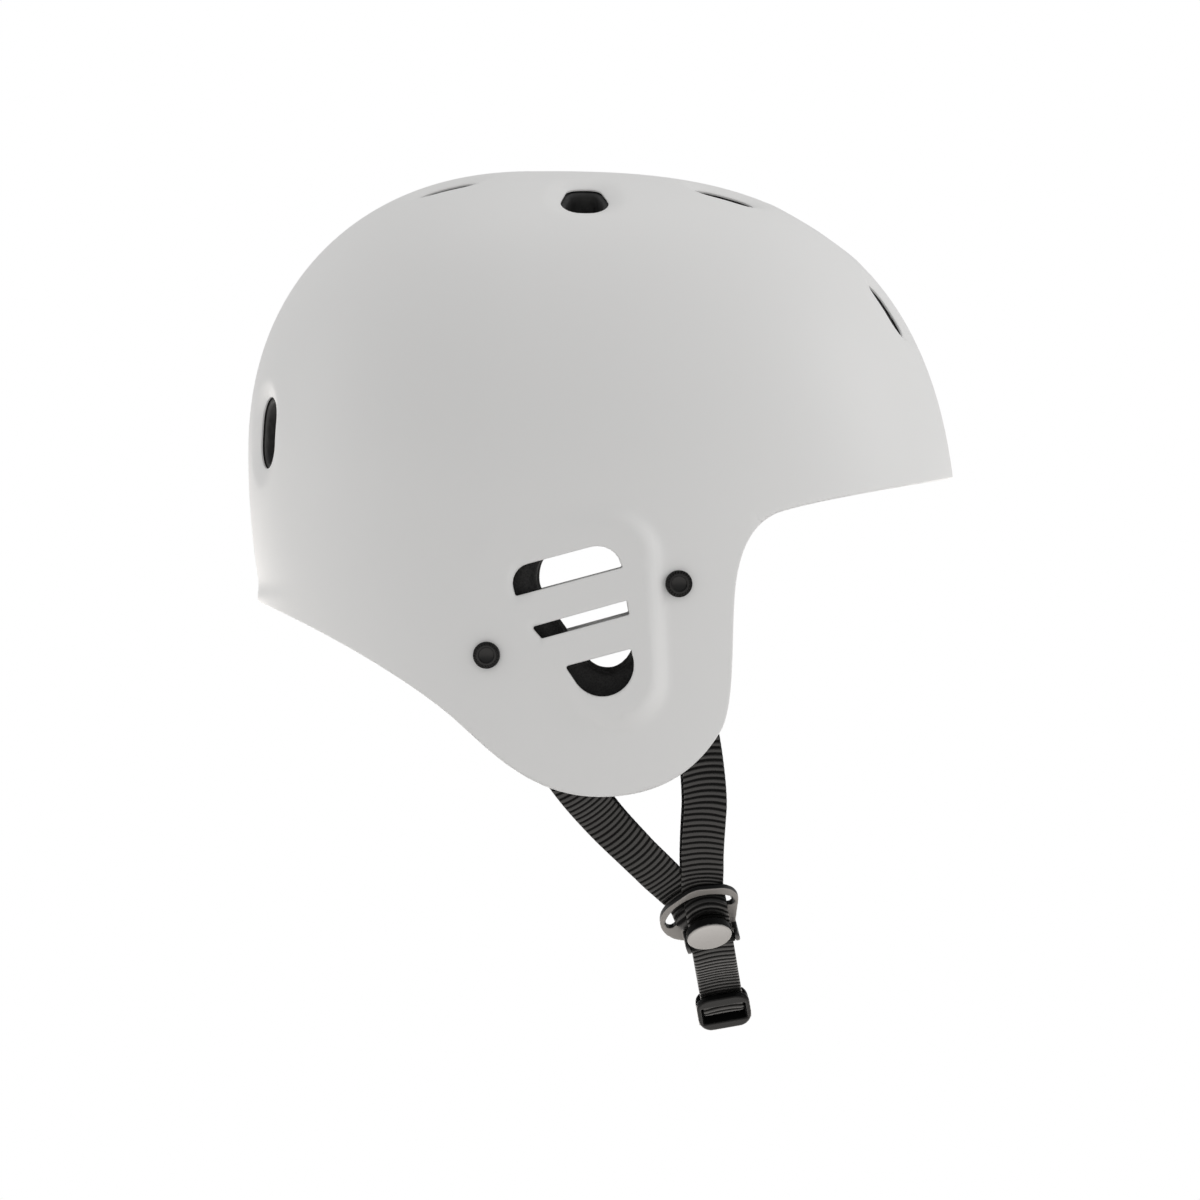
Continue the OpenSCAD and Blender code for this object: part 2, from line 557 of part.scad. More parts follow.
module anchor_nuts() {
    color("gray") both_sides() for (a = [anchor_front, anchor_rear]) at_anchor(a)
        translate([0, 0, -nut_at - 1.6]) difference() {
            cylinder(d = nut_d, h = 1.4);
            translate([0, 0, -1]) cylinder(d = post_d + 2 * run, h = 4);
        }
}

// Divider plate with its arc slot, and the lugs that carry the lock lever
plate_outline = [[-7.3, -0.5, 11], [-1.5, 5.6, 9.1], [5.8, 6.8, 6.9], [2.2, -4.5, 8]];
slot_ends = [52, 161.4];                            // angles of the slot's round ends
lever_mid = [-0.65, -1.2, 10.9];                 // middle of the lever's face, from the plate's origin
lever_turn = 8;
lever_lean = 13;                                 // the lever's upper end stands off the strap
pivot_down = lever_d / 2 - 1.8;                  // the pivot lies this far below the lever's middle
lug_x = web_w / 2 + 0.8;
lug_t = 1.5;
lug_r = 2.2;
barrel_d = 4;
module plate_2d() {
    difference() {
        hull() for (c = plate_outline) translate([c[0], c[1]]) circle(c[2]);
        translate(arc_mid) {
            intersection() {
                difference() {
                    circle(arc_r + plate_slot / 2, $fn = 90);
                    circle(arc_r - plate_slot / 2, $fn = 90);
                }
                polygon([[0, 0], 40 * [cos(slot_ends[0]), sin(slot_ends[0])], [0, 60],
                    40 * [cos(slot_ends[1]), sin(slot_ends[1])]]);
            }
            for (a = slot_ends) translate(arc_r * [cos(a), sin(a)]) circle(d = plate_slot * 0.7);
        }
    }
}
module at_lever() {
    at_plate() translate(lever_mid) rotate([0, 0, lever_turn]) rotate([lever_lean, 0, 0]) children();
}
module at_pivot() {
    at_lever() translate([0, -pivot_down, -lever_t * 0.56]) children();
}
module across_rod(d, half) {
    rotate([0, 90, 0]) cylinder(d = d, h = 2 * half, center = true);
}
module divider_plate() {
    color("#6d6863") {
        at_plate() translate([0, 0, -plate_t / 2]) linear_extrude(plate_t) plate_2d();
        for (x = [lug_x, -lug_x - lug_t]) difference() {
            hull() {
                at_pivot() translate([x, 0, 0]) rotate([0, 90, 0]) cylinder(r = lug_r, h = lug_t);
                at_plate() translate([x, -10.4, 0]) cube([lug_t, 5, plate_t / 2]);
            }
            at_pivot() across_rod(pivot_d + 2 * run, 20);
        }
    }
}
module lock_lever() {
    color("#161616") {
        difference() {
            union() {
                at_lever() translate([0, 0, -lever_t]) cylinder(d1 = lever_d - 1.2, d2 = lever_d, h = lever_t, $fn = 64);
                at_pivot() across_rod(barrel_d, lug_x - fit);
            }
            at_lever() translate([0, 0, -0.9]) cylinder(d = lever_d - 0.7, h = 2, $fn = 64);
        }
        at_pivot() across_rod(pivot_d, lug_x + lug_t - 0.2);
    }
}
module lever_disc() {
    r = lever_d / 2 - 0.45;
    color("#8a857f") at_lever() translate([0, 0, -0.85])
        rotate_extrude($fn = 64) polygon([[0, 0], [0, 1.25], [r - 0.9, 1.15], [r - 0.35, 1.3], [r, 1], [r, 0]]);
}
module divider_plate_right() { divider_plate(); }
module divider_plate_left() { left_side() divider_plate(); }
module lock_lever_right() { lock_lever(); }
module lock_lever_left() { left_side() lock_lever(); }
module lever_disc_right() { lever_disc(); }
module lever_disc_left() { left_side() lever_disc(); }

// Side-release buckle: Y of its frame points to the right side, Z down
mouth = -12;                        // mouth of the housing, on the left
back_y = mouth + socket_len;        // back of the housing
slack = 0.3;
cav_x = buckle_w / 2 - 2.7;
cav_z = buckle_t / 2 - 1.8;
window = [-5, 6];                   // side windows for the latch arms
tongue = 1.5;
module at_buckle() {
    chin_frame([chin_x, 0, body_z], 90) children();
}
module rounded(w, y0, y1, h, r) {
    hull() for (x = [-1, 1], y = [y0 + r, y1 - r]) translate([x * (w / 2 - r), y, -h / 2]) cylinder(r = r, h = h, $fn = 32);
}
// Loop that carries the webbing: rails, a flat top bar and the round bar
rail_in = web_w / 2 + 0.5;
loop_low = -5.6;                    // window of the loop, along the webbing
loop_high = 6.2;
loop_r = 6;                         // corners of the loop
loop_face = ply / 2 + web_t / 2 + fit;     // inner face of its top bar, in front of the webbing
module strap_loop() {
    at_hang(1) {
        difference() {
            translate([0, 0, 1.1]) rounded(buckle_w, -11.6, 12, 6.4, loop_r);
            translate([-rail_in, loop_low, -5]) cube([2 * rail_in, loop_high - loop_low, 12]);
            translate([-20, bar_d, -8]) cube([40, 12, 8 + loop_face]);
            translate([-rail_in, 0, -5]) cube([2 * rail_in, 14, 5 + loop_face]);
        }
        translate([-rail_in - 1, 0, 0]) rotate([0, 90, 0]) cylinder(d = bar_d, h = 2 * rail_in + 2);
    }
}
// Outline of the whole buckle, seen from its side
end_top = -10.2;
end_r = 5;
module end_outline() {
    at_buckle() rotate([90, 0, 0]) linear_extrude(round_end, center = true) hull()
        for (x = [-1, 1], z = [end_top + end_r, buckle_t / 2 - end_r])
            translate([x * (buckle_w / 2 - end_r), z]) circle(end_r, $fn = 48);
}
module buckle_housing() {
    color("#101010") intersection() {
        union() {
            at_buckle() difference() {
                rounded(buckle_w, mouth, back_y, buckle_t, 3);
                translate([-cav_x, mouth - 1, -cav_z]) cube([2 * cav_x, socket_len - 5, 2 * cav_z]);
                translate([-buckle_w, window[0], -cav_z])
                    cube([2 * buckle_w, window[1] - window[0], 2 * cav_z]);
            }
            strap_loop();
        }
        end_outline();
    }
}
module buckle_plug() {
    color("#101010") intersection() {
        union() {
            at_buckle() {
                rounded(buckle_w, -back_y - 2.5, mouth - slack, buckle_t, 1.5);
                translate([-tongue, mouth - 1, -cav_z + slack]) cube([2 * tongue, 17, 2 * (cav_z - slack)]);
            }
            difference() {
                mirror([0, 1, 0]) strap_loop();
                at_buckle() translate([-20, mouth - slack, -20]) cube(40);
            }
        }
        end_outline();
    }
}
arm_pivot = [cav_x - 2.2, mouth + 1];
module latch_arm(s) {
    h = 2 * (cav_z - slack);
    color("#181818") at_buckle() scale([s, 1, 1]) translate([0, 0, -h / 2]) {
        translate(arm_pivot) cylinder(r = 1.1, h = h);
        linear_extrude(h) polygon([[arm_pivot[0] - 1.1, arm_pivot[1]], [arm_pivot[0] + 1.1, arm_pivot[1]],
            [cav_x - 1, window[0] + slack], [cav_x + 1.2, window[0] + slack],
            [buckle_w / 2 - 0.1, window[1] - 6.5], [buckle_w / 2 - 0.4, window[1] - 4],
            [cav_x - 0.3, window[1] - 1], [cav_x - 1.8, window[1] - 1.2], [cav_x - 1.6, window[0]]]);
    }
}
module latch_arm_front() { latch_arm(1); }
module latch_arm_rear() { latch_arm(-1); }

outer_shell();
foam_liner();
ear_pad_right();
ear_pad_left();
brow_pad();
crown_pad();
nape_pad();
side_pad_right();
side_pad_left();
pad_tabs();
ear_pad_tabs();
chin_strap_right();
chin_strap_left();
anchor_front_right();
anchor_rear_right();
anchor_front_left();
anchor_rear_left();
anchor_nuts();
divider_plate_right();
divider_plate_left();
lock_lever_right();
lock_lever_left();
lever_disc_right();
lever_disc_left();
buckle_housing();
buckle_plug();
latch_arm_front();
latch_arm_rear();
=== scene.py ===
import math
import time

import bmesh
import bpy
import numpy as np
from mathutils import Matrix, Vector
from mathutils.geometry import delaunay_2d_cdt
from mathutils.kdtree import KDTree


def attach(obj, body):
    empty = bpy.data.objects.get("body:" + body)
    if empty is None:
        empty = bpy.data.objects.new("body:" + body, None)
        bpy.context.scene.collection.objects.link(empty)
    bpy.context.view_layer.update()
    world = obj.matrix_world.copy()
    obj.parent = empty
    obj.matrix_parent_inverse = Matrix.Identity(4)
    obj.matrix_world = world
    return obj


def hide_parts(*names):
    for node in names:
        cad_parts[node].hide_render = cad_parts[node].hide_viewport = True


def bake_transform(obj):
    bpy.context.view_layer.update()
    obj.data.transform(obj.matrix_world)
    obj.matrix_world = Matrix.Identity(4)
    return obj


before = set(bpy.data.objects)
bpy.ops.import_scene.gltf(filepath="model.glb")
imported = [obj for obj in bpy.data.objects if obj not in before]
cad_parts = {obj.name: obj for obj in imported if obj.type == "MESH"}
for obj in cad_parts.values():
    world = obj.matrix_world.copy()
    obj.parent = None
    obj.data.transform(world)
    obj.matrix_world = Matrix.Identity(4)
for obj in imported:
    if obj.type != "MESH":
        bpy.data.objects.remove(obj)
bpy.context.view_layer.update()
mm = 0.001
scene = bpy.context.scene
print("stage: frame loaded,", len(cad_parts), "nodes")


def addObject(name, data):
    thing = bpy.data.objects.new(name, data)
    scene.collection.objects.link(thing)
    return thing


def fromBmesh(name, bm):
    mesh = bpy.data.meshes.new(name)
    bm.to_mesh(mesh)
    bm.free()
    return addObject(name, mesh)


def toBmesh(mesh):
    bm = bmesh.new()
    bm.from_mesh(mesh)
    return bm


def baked(holder):
    bpy.context.view_layer.update()
    return bpy.data.meshes.new_from_object(holder.evaluated_get(bpy.context.evaluated_depsgraph_get()))


# Camera and studio

view = {
    "distance": 5.0,        # from the helmet's middle plane, level with the ear slots
    "height": -0.025,
    "frameWidth": 0.462,    # what the picture spans at the middle plane
    "rise": -0.022,         # the picture's middle lies this much below the camera
}


def makeCamera():
    data = bpy.data.cameras.new("camera")
    camera = addObject("camera", data)
    camera.location = (0, -view["distance"], view["height"])
    camera.rotation_euler = (math.pi / 2, 0, 0)
    data.lens = 36 * view["distance"] / view["frameWidth"]
    data.shift_y = view["rise"] / view["frameWidth"]
    data.clip_end = 50
    scene.camera = camera


makeCamera()
scene.view_settings.view_transform = "Standard"
print("stage: camera")


# Shader maths: a socket that takes part in Python expressions

class Wire:
    def __init__(self, tree, socket):
        self.tree = tree
        self.socket = socket

    def math(self, operation, *others):
        node = self.tree.node("ShaderNodeMath", {"operation": operation})
        for k, value in enumerate((self,) + others):
            self.tree.feed(node.inputs[k], value)
        return Wire(self.tree, node.outputs[0])

    def __add__(self, other): return self.math("ADD", other)
    def __sub__(self, other): return self.math("SUBTRACT", other)
    def __mul__(self, other): return self.math("MULTIPLY", other)

    def sine(self): return self.math("SINE")
    def absolute(self): return self.math("ABSOLUTE")
    def most(self, other): return self.math("MAXIMUM", other)

    def ease(self, low, high):
        node = self.tree.node("ShaderNodeMapRange", {"interpolation_type": "SMOOTHSTEP"})
        for k, value in enumerate((self, low, high, 0.0, 1.0)):
            self.tree.feed(node.inputs[k], value)
        return Wire(self.tree, node.outputs[0])


# A material's nodes, or the world's

class Finish:
    def __init__(self, name, world=None):
        self.material = world or bpy.data.materials.new(name)
        self.material.use_nodes = True
        self.nodes = self.material.node_tree.nodes
        self.links = self.material.node_tree.links
        self.nodes.clear()
        self.out = self.nodes.new("ShaderNodeOutputWorld" if world else "ShaderNodeOutputMaterial")

    def feed(self, socket, value):
        if isinstance(value, Wire):
            self.links.new(value.socket, socket)
        else:
            socket.default_value = value

    def node(self, kind, settings=None, **sockets):
        node = self.nodes.new(kind)
        for key, value in (settings or {}).items():
            setattr(node, key, value)
        for key, value in sockets.items():
            self.feed(node.inputs[key.replace("_", " ")], value)
        return node

    def wire(self, node, output=0):
        return Wire(self, node.outputs[output])

    def place(self):
        return self.wire(self.node("ShaderNodeTexCoord"), "Object")

    def uv(self):
        return self.wire(self.node("ShaderNodeTexCoord"), "UV")

    def part(self, vector, axis):
        return self.wire(self.node("ShaderNodeSeparateXYZ", Vector=vector), "XYZ".index(axis))

    def noise(self, scale, detail, rough=0.5):
        return self.wire(self.node("ShaderNodeTexNoise", Vector=self.place(), Scale=scale, Detail=detail,
                                   Roughness=rough))

    def voronoi(self, scale):
        return self.wire(self.node("ShaderNodeTexVoronoi", Vector=self.place(), Scale=scale))

    def blend(self, factor, first, second):
        node = self.node("ShaderNodeMix", {"data_type": "RGBA"}, Factor=factor)
        self.feed(node.inputs[6], first)
        self.feed(node.inputs[7], second)
        return self.wire(node, 2)

    def mixed(self, factor, first, second):
        node = self.node("ShaderNodeMixShader")
        for socket, value in zip(node.inputs, (factor, first, second)):
            self.feed(socket, value)
        return self.wire(node)

    def bump(self, height, strength, distance):
        return self.wire(self.node("ShaderNodeBump", Height=height, Strength=strength, Distance=distance))

    def show(self, surface):
        self.feed(self.out.inputs[0], surface)

    def shader(self, **sockets):
        self.show(self.wire(self.node("ShaderNodeBsdfPrincipled", **sockets)))


def shade(level, warm=0.0):
    return (level * (1 + warm), level, level * (1 - warm), 1)


light = {
    "world": 0.6,
    "key": 12,
    "rear": 4.3,
    "top": 4,
    "floorTone": 0.86,
    "floorShine": 2.6,      # how bright the floor is in reflections
    "floorHeight": -0.32,
    "floorFade": (0.3, 0.75),
}


def lamp(name, place, aim, size, power, warm=0.0):
    data = bpy.data.lights.new(name, "AREA")
    data.shape = "DISK"
    data.size = size
    data.energy = power
    data.color = shade(1, warm)[:3]
    lampObject = addObject(name, data)
    lampObject.location = place
    lampObject.rotation_euler = (Vector(aim) - Vector(place)).to_track_quat("-Z", "Y").to_euler()


def makeWorld():
    scene.world = bpy.data.worlds.new("studio")
    sky = Finish("studio", scene.world)
    ray = sky.node("ShaderNodeLightPath")
    soft = sky.wire(sky.node("ShaderNodeBackground", Color=shade(1), Strength=light["world"]))
    white = sky.wire(sky.node("ShaderNodeBackground", Color=shade(1), Strength=1))
    seen = sky.wire(ray, "Is Camera Ray").most(sky.wire(ray, "Is Transmission Ray"))
    sky.show(sky.mixed(seen, soft, white))


# The floor is a pale surface near the helmet, and plain white to the camera further out

def floorFinish():
    pale = Finish("paleFloor")
    spread = pale.node("ShaderNodeVectorMath", {"operation": "LENGTH"}, Vector=pale.place())
    far = pale.wire(spread, "Value").ease(*light["floorFade"])
    ray = pale.node("ShaderNodeLightPath")
    below = pale.wire(pale.node("ShaderNodeNewGeometry"), "Backfacing")
    matte = pale.wire(pale.node("ShaderNodeBsdfDiffuse", Color=shade(light["floorTone"])))
    glow = pale.wire(pale.node("ShaderNodeEmission", Color=shade(1), Strength=1))
    shine = pale.wire(pale.node("ShaderNodeEmission", Color=shade(1, 0.04), Strength=light["floorShine"]))
    clear = pale.wire(pale.node("ShaderNodeBsdfTransparent"))
    seen = pale.mixed(far * pale.wire(ray, "Is Camera Ray"), matte, glow)
    reflected = pale.mixed(pale.wire(ray, "Is Glossy Ray"), seen, shine)
    pale.show(pale.mixed(below, reflected, clear))
    return pale.material


def makeFloor():
    bm = bmesh.new()
    bmesh.ops.create_grid(bm, x_segments=1, y_segments=1, size=12)
    bmesh.ops.translate(bm, vec=(0, 0, light["floorHeight"]), verts=bm.verts)
    floor = fromBmesh("floor", bm)
    floor.data.materials.append(floorFinish())


makeWorld()
lamp("key", (2.2, -0.3, 0.9), (0, 0, 0), 1.6, light["key"])
lamp("rear", (-2.2, 0, 0.5), (0, 0, -0.05), 1.4, light["rear"])
lamp("top", (0, 0.5, 2.4), (0, 0, 0), 1.6, light["top"], -0.01)
makeFloor()
print("stage: studio")

# Pieces

def addPiece(name, bm, body, finish, replaces, smooth):
    piece = fromBmesh(name, bm)
    piece.data.materials.append(finish)
    piece.data.shade_smooth()
    if smooth < 180:
        piece.data.set_sharp_from_angle(angle=math.radians(smooth))
    if body:
        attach(piece, body)
    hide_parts(*replaces)
    return piece


def bevelEdges(bm, width, segments, angle):
    sharp = [e for e in bm.edges if len(e.link_faces) == 2 and e.calc_face_angle(0) > math.radians(angle)]
    bmesh.ops.bevel(bm, geom=sharp, offset=width, offset_type="OFFSET", segments=segments, profile=0.5,
                    affect="EDGES", clamp_overlap=True, material=-1)


# Shape of the shell, in millimetres, from the same sizes as the construction

shellSize = {
    "length": 272, "width": 214, "crown": 118, "earDrop": 121, "backDrop": 45.5, "wall": 3.2,
    "earFront": 50.8, "rearLip": 1.4, "edgeRound": 0.7,
    "bulge": 1.2, "step": 8, "pocketTilt": 1.5, "pocketRound": 13,
    "slotLean": 15, "slotMiddle": (-10, -50),
    "crownBack": 25, "frontMore": 2.2, "rearLess": 0.7,
    # at the front, the sides and the back
    "plan": (2.2, 2.25, 2.3),       # power of the plan
    "level": (-55, -8, 9),          # where the dome starts
    "profile": (2.8, 2.25, 2.2),    # power of the dome
    "tuck": (0.05, 0.035, 0.15),    # how far the skirt draws in
    "tuckPower": (2, 3.5, 2),
}
halfLength = shellSize["length"] / 2
halfWidth = shellSize["width"] / 2
lowest = -shellSize["earDrop"] - 6
pocketCorners = np.array([[-31, -33], [4, -31], [6, -76]], float)
forward, upward = np.array([1.0, 0, 0]), np.array([0, 0, 1.0])


def ease(k):
    c = np.clip(k, 0, 1)
    return c * c * (3 - 2 * c)


def mix(a, b, k):
    return a + (b - a) * k


def unit(v):
    return v / (np.linalg.norm(v, axis=-1, keepdims=True) + 1e-12)


def roundHead(az, front, side, back):
    c = np.cos(az)
    return mix(side, np.where(c > 0, front, back), c * c)


# How far the skin reaches from the crown's axis, seen from above

def planReach(az):
    c = np.cos(az)
    reach = np.where(c > 0, halfLength + shellSize["crownBack"] + shellSize["frontMore"],
                     halfLength - shellSize["crownBack"] - shellSize["rearLess"])
    power = roundHead(az, *shellSize["plan"])
    return ((np.abs(c) / reach) ** power + (np.abs(np.sin(az)) / halfWidth) ** power) ** (-1 / power)


# Points of the skin: v runs from -1 at the lowest rim over 0 at the dome's foot to 1 at the crown

def dome(az, v):
    level = roundHead(az, *shellSize["level"])
    power = roundHead(az, *shellSize["profile"])
    turn = math.pi / 2 * np.maximum(0, v)
    ct = np.maximum(np.cos(turn), 0)
    rho = (ct ** power + np.sin(turn) ** power) ** (-1 / power)
    z = np.where(v < 0, mix(level, lowest, -v), level + (shellSize["crown"] - level) * rho * np.sin(turn))
    tuck = (roundHead(az, *shellSize["tuck"])
            * (np.maximum(0, level - z) / 100) ** roundHead(az, *shellSize["tuckPower"]))
    lip = shellSize["rearLip"] * ease(-np.cos(az) * 4 - 3) * ease((-shellSize["backDrop"] + 5.5 - z) / 7)
    r = planReach(az) * np.where(v < 0, 1 - tuck, rho * ct) + lip
    return np.stack([r * np.cos(az) - shellSize["crownBack"], r * np.sin(az), z], -1)


def domeV(az, z):
    level = roundHead(az, *shellSize["level"])
    power = roundHead(az, *shellSize["profile"])
    up = np.clip((z - level) / (shellSize["crown"] - level), 0, 1)
    high = np.arctan2(up, np.maximum(0, 1 - up ** power) ** (1 / power)) / (math.pi / 2)
    return np.where(z < level, -(level - z) / (level - lowest), high)


def segmentGap(p, a, b):
    t = np.clip(((p - a) @ (b - a)) / ((b - a) @ (b - a)), 0, 1)
    return np.linalg.norm(p - (a + t[..., None] * (b - a)), axis=-1)


def insideOf(points, polygon):
    inside = np.zeros(len(points), bool)
    low, high = polygon.min(0), polygon.max(0)
    near = ((points >= low) & (points <= high)).all(1)
    p = points[near]
    part = np.zeros(len(p), bool)
    for i in range(len(polygon)):
        a, b = polygon[i - 1], polygon[i]
        if a[1] == b[1]:
            continue
        cuts = (a[1] > p[:, 1]) != (b[1] > p[:, 1])
        part ^= cuts & (p[:, 0] < (b[0] - a[0]) * (p[:, 1] - a[1]) / (b[1] - a[1]) + a[0])
    inside[near] = part
    return inside


# Distance from a polygon, less than 0 inside it

def polygonGap(p, corners):
    gap = np.full(len(p), 1e9)
    for a, b in zip(corners, np.roll(corners, -1, 0)):
        gap = np.minimum(gap, segmentGap(p, a, b))
    return np.where(insideOf(p, corners), -gap, gap)


# The dome with the flat pockets over the ears raised on it

def skin(az, v, pocket):
    p = dome(az, v)
    if not pocket:
        return p
    side = np.stack([p[..., 0], p[..., 2]], -1)
    gap = np.maximum(0, polygonGap(side, pocketCorners) - shellSize["pocketRound"])
    k = (1 - ease(gap / shellSize["step"])) * (np.abs(p[..., 1]) > halfWidth / 2) * (p[..., 2] < 15)
    flat = halfWidth + shellSize["bulge"] + (p[..., 0] - 18) * math.tan(math.radians(shellSize["pocketTilt"]))
    y = np.abs(p[..., 1])
    y = np.maximum(y, mix(y, flat, k))
    return np.stack([p[..., 0], np.sign(p[..., 1]) * y, p[..., 2]], -1)


# The crown is the middle of a flat map of the shell: the distance from it is 1 - v, and the direction is
# the azimuth
mapUnit = 125.0


def fromMap(q):
    r = np.linalg.norm(q, axis=-1)
    return np.arctan2(q[..., 1], q[..., 0]), 1 - r / mapUnit


def toMap(az, v):
    r = (1 - v) * mapUnit
    return np.stack([r * np.cos(az), r * np.sin(az)], -1)


def onMap(q, pocket=False):
    return skin(*fromMap(q), pocket)


def mapNormal(q, pocket=False):
    dx, dy = np.eye(2) * 0.25
    return unit(np.cross(onMap(q + dx, pocket) - onMap(q - dx, pocket),
                         onMap(q + dy, pocket) - onMap(q - dy, pocket)))


# The places on the map whose coordinates along two directions are the wanted ones

def findOnMap(start, wanted, first, second):
    q = np.array(start, float)
    for _ in range(12):
        p = onMap(q)
        miss = np.stack([wanted[..., 0] - p @ first, wanted[..., 1] - p @ second], -1)
        h = 0.05
        px = (onMap(q + [h, 0]) - p) / h
        py = (onMap(q + [0, h]) - p) / h
        a, b, c, d = px @ first, py @ first, px @ second, py @ second
        det = a * d - b * c
        q = q + np.clip(np.stack([(d * miss[..., 0] - b * miss[..., 1]) / det,
                                  (a * miss[..., 1] - c * miss[..., 0]) / det], -1), -12, 12)
    return q


def sideOnMap(points):
    points = np.asarray(points, float)
    az = np.arctan2(-95.0, points[..., 0] + shellSize["crownBack"])
    start = toMap(az, domeV(az, points[..., 1]))
    return findOnMap(start, points, forward, upward)


print("stage: shell formulas ready")


# Outlines, seen from the side or along a vent

def bezierChain(points, steps):
    points = np.array(points, float)
    t = (np.arange(steps) / steps)[:, None]
    pieces = []
    for k in range(0, len(points) - 3, 3):
        a, b, c, d = points[k:k + 4]
        pieces.append(a * (1 - t) ** 3 + 3 * b * t * (1 - t) ** 2 + 3 * c * t * t * (1 - t) + d * t ** 3)
    return np.concatenate(pieces + [points[-1:]])


def densify(line, spacing, closed=True):
    out = []
    count = len(line)
    for i in range(count if closed else count - 1):
        a, b = line[i], line[(i + 1) % count]
        steps = max(1, int(np.linalg.norm(b - a) / spacing + 0.5))
        out.extend(a + (b - a) * k / steps for k in range(steps))
    if not closed:
        out.append(line[-1])
    return np.array(out)


# Corners are x, y and radius

def rounded(corners, steps=6):
    out = []
    count = len(corners)
    for i in range(count):
        x, y, r = corners[i]
        c = np.array([x, y])
        a = unit(np.array(corners[i - 1][:2]) - c)
        b = unit(np.array(corners[(i + 1) % count][:2]) - c)
        half = math.acos(np.clip(a @ b, -1, 1)) / 2
        if r == 0 or half > 1.55:
            out.append(c)
            continue
        middle = c + unit(a + b) * r / math.sin(half)
        start = c + a * r / math.tan(half) - middle
        end = c + b * r / math.tan(half) - middle
        a0 = math.atan2(start[1], start[0])
        turn = (math.atan2(end[1], end[0]) - a0 + math.pi) % (2 * math.pi) - math.pi
        for k in range(steps + 1):
            angle = a0 + turn * k / steps
            out.append(middle + r * np.array([math.cos(angle), math.sin(angle)]))
    return np.array(out)


def grow(line, distance, closed=True):
    before = np.roll(line, 1, 0)
    after = np.roll(line, -1, 0)
    if not closed:
        before[0], after[-1] = line[0], line[-1]
    first = line - before
    second = after - line
    if not closed:
        first[0], second[-1] = second[0], first[-1]
    first = unit(first)
    turn = unit(first + unit(second))
    out = np.stack([turn[:, 1], -turn[:, 0]], -1)
    return line + out * distance / np.clip((turn * first).sum(1), 0.6, 1)[:, None]


earLow = -shellSize["earDrop"]
earFront = shellSize["earFront"]
backDrop = shellSize["backDrop"]
# The rim from the back to the front, seen from the side, as points of joined cubic curves
rimLine = bezierChain([
    (-halfLength - 1, -backDrop), (-halfLength + 18, -backDrop - 6.5), (-80, earLow + 50),
    (-56.6, earLow + 30.7), (-43, earLow + 19), (-27, earLow), (0, earLow),
    (24, earLow), (earFront - 13, earLow + 11), (earFront - 4.4, earLow + 26),
    (earFront, earLow + 36), (earFront - 0.8, earLow + 56), (earFront, earLow + 71),
    (earFront + 0.5, -32), (earFront + 5, -18), (earFront + 17, -13.5),
    (earFront + 31, -9), (halfLength - 21, -3.5), (halfLength + 4, 0.5)], 20)

# Corners of the three ear slots, with their rounding
slotShapes = [
    rounded([(-19.9, 10.4, 0.8), (21.9, 10.4, 0.6), (21.9, 21, 9.6), (-19.9, 21, 7.5)]),
    rounded([(-14.5, -7.6, 0.8), (19.8, -7.4, 0.6), (20.3, -2, 0.6), (-17, -2.4, 0.8)], 4),
    rounded([(-8.7, -20, 0.9)] + [(5 + 12 * math.cos(a), -23 + 12 * math.sin(a), 0)
                                  for a in np.radians(np.linspace(-159.8, 0, 20))] + [(17.1, -20, 0.9)], 5)]
lean = math.radians(shellSize["slotLean"])
slotMiddle = np.array(shellSize["slotMiddle"])
slotWay = np.array([math.cos(lean), math.sin(lean)])


def leaned(line):
    return slotMiddle + line @ np.array([slotWay, [-slotWay[1], slotWay[0]]])


def ovalVent(length=24, width=15):
    k, r = (length - width) / 2, width / 2
    turn = np.radians(np.linspace(0, 180, 16))
    top = np.stack([r * np.cos(turn), k + r * np.sin(turn)], -1)
    return np.concatenate([top, -top])


def bluntVent():
    return rounded([(-11.5, -10.81, 8.05), (11.5, -10.81, 8.05), (5.98, 11.5, 5.29), (-5.98, 11.5, 5.29)], 8)


def ventFrame(az, z, longWay):
    az = np.radians(az)
    v = domeV(az, z)
    q = toMap(az, v)
    p, n = onMap(q), mapNormal(q)
    y = unit(longWay - (longWay @ n) * n)
    return {"map": q, "middle": p, "across": np.cross(y, n), "along": y}


vents = [(ventFrame(-147.5, 112.7, forward), ovalVent()), (ventFrame(-16, 109.5, forward), ovalVent()),
         (ventFrame(-7.6, 65.5, upward), ovalVent()), (ventFrame(-158.3, 17.2, upward), ovalVent(28, 19)),
         (ventFrame(-68.5, 108, upward), bluntVent())]
middleVent = (ventFrame(0, 96, forward), ovalVent())
mirrored = np.array([1.0, -1.0])


def inFrame(p, vent):
    d = p - vent["middle"]
    return np.stack([d @ vent["across"], d @ vent["along"]], -1)


def ventOnMap(vent, line):
    start = np.repeat(vent["map"][None], len(line), 0)
    wanted = line + np.array([vent["middle"] @ vent["across"], vent["middle"] @ vent["along"]])
    return findOnMap(start, wanted, vent["across"], vent["along"])


# A wall on the skin: an outline seen from the side, holes seen from the side and holes seen along the skin's
# normal. Rings of points follow every edge, so that rounded edges and hollows come out clean.

def endArc(line, turns, x, lift):
    part = line[line[:, 0] < x + 2] if x < 0 else line[line[:, 0] > x - 2]
    low = np.full(len(turns), np.interp(x, part[:, 0], part[:, 1]))
    for _ in range(30):
        low = np.interp(dome(turns, domeV(turns, low))[:, 0], part[:, 0], part[:, 1]) + lift
    return toMap(turns, domeV(turns, low))


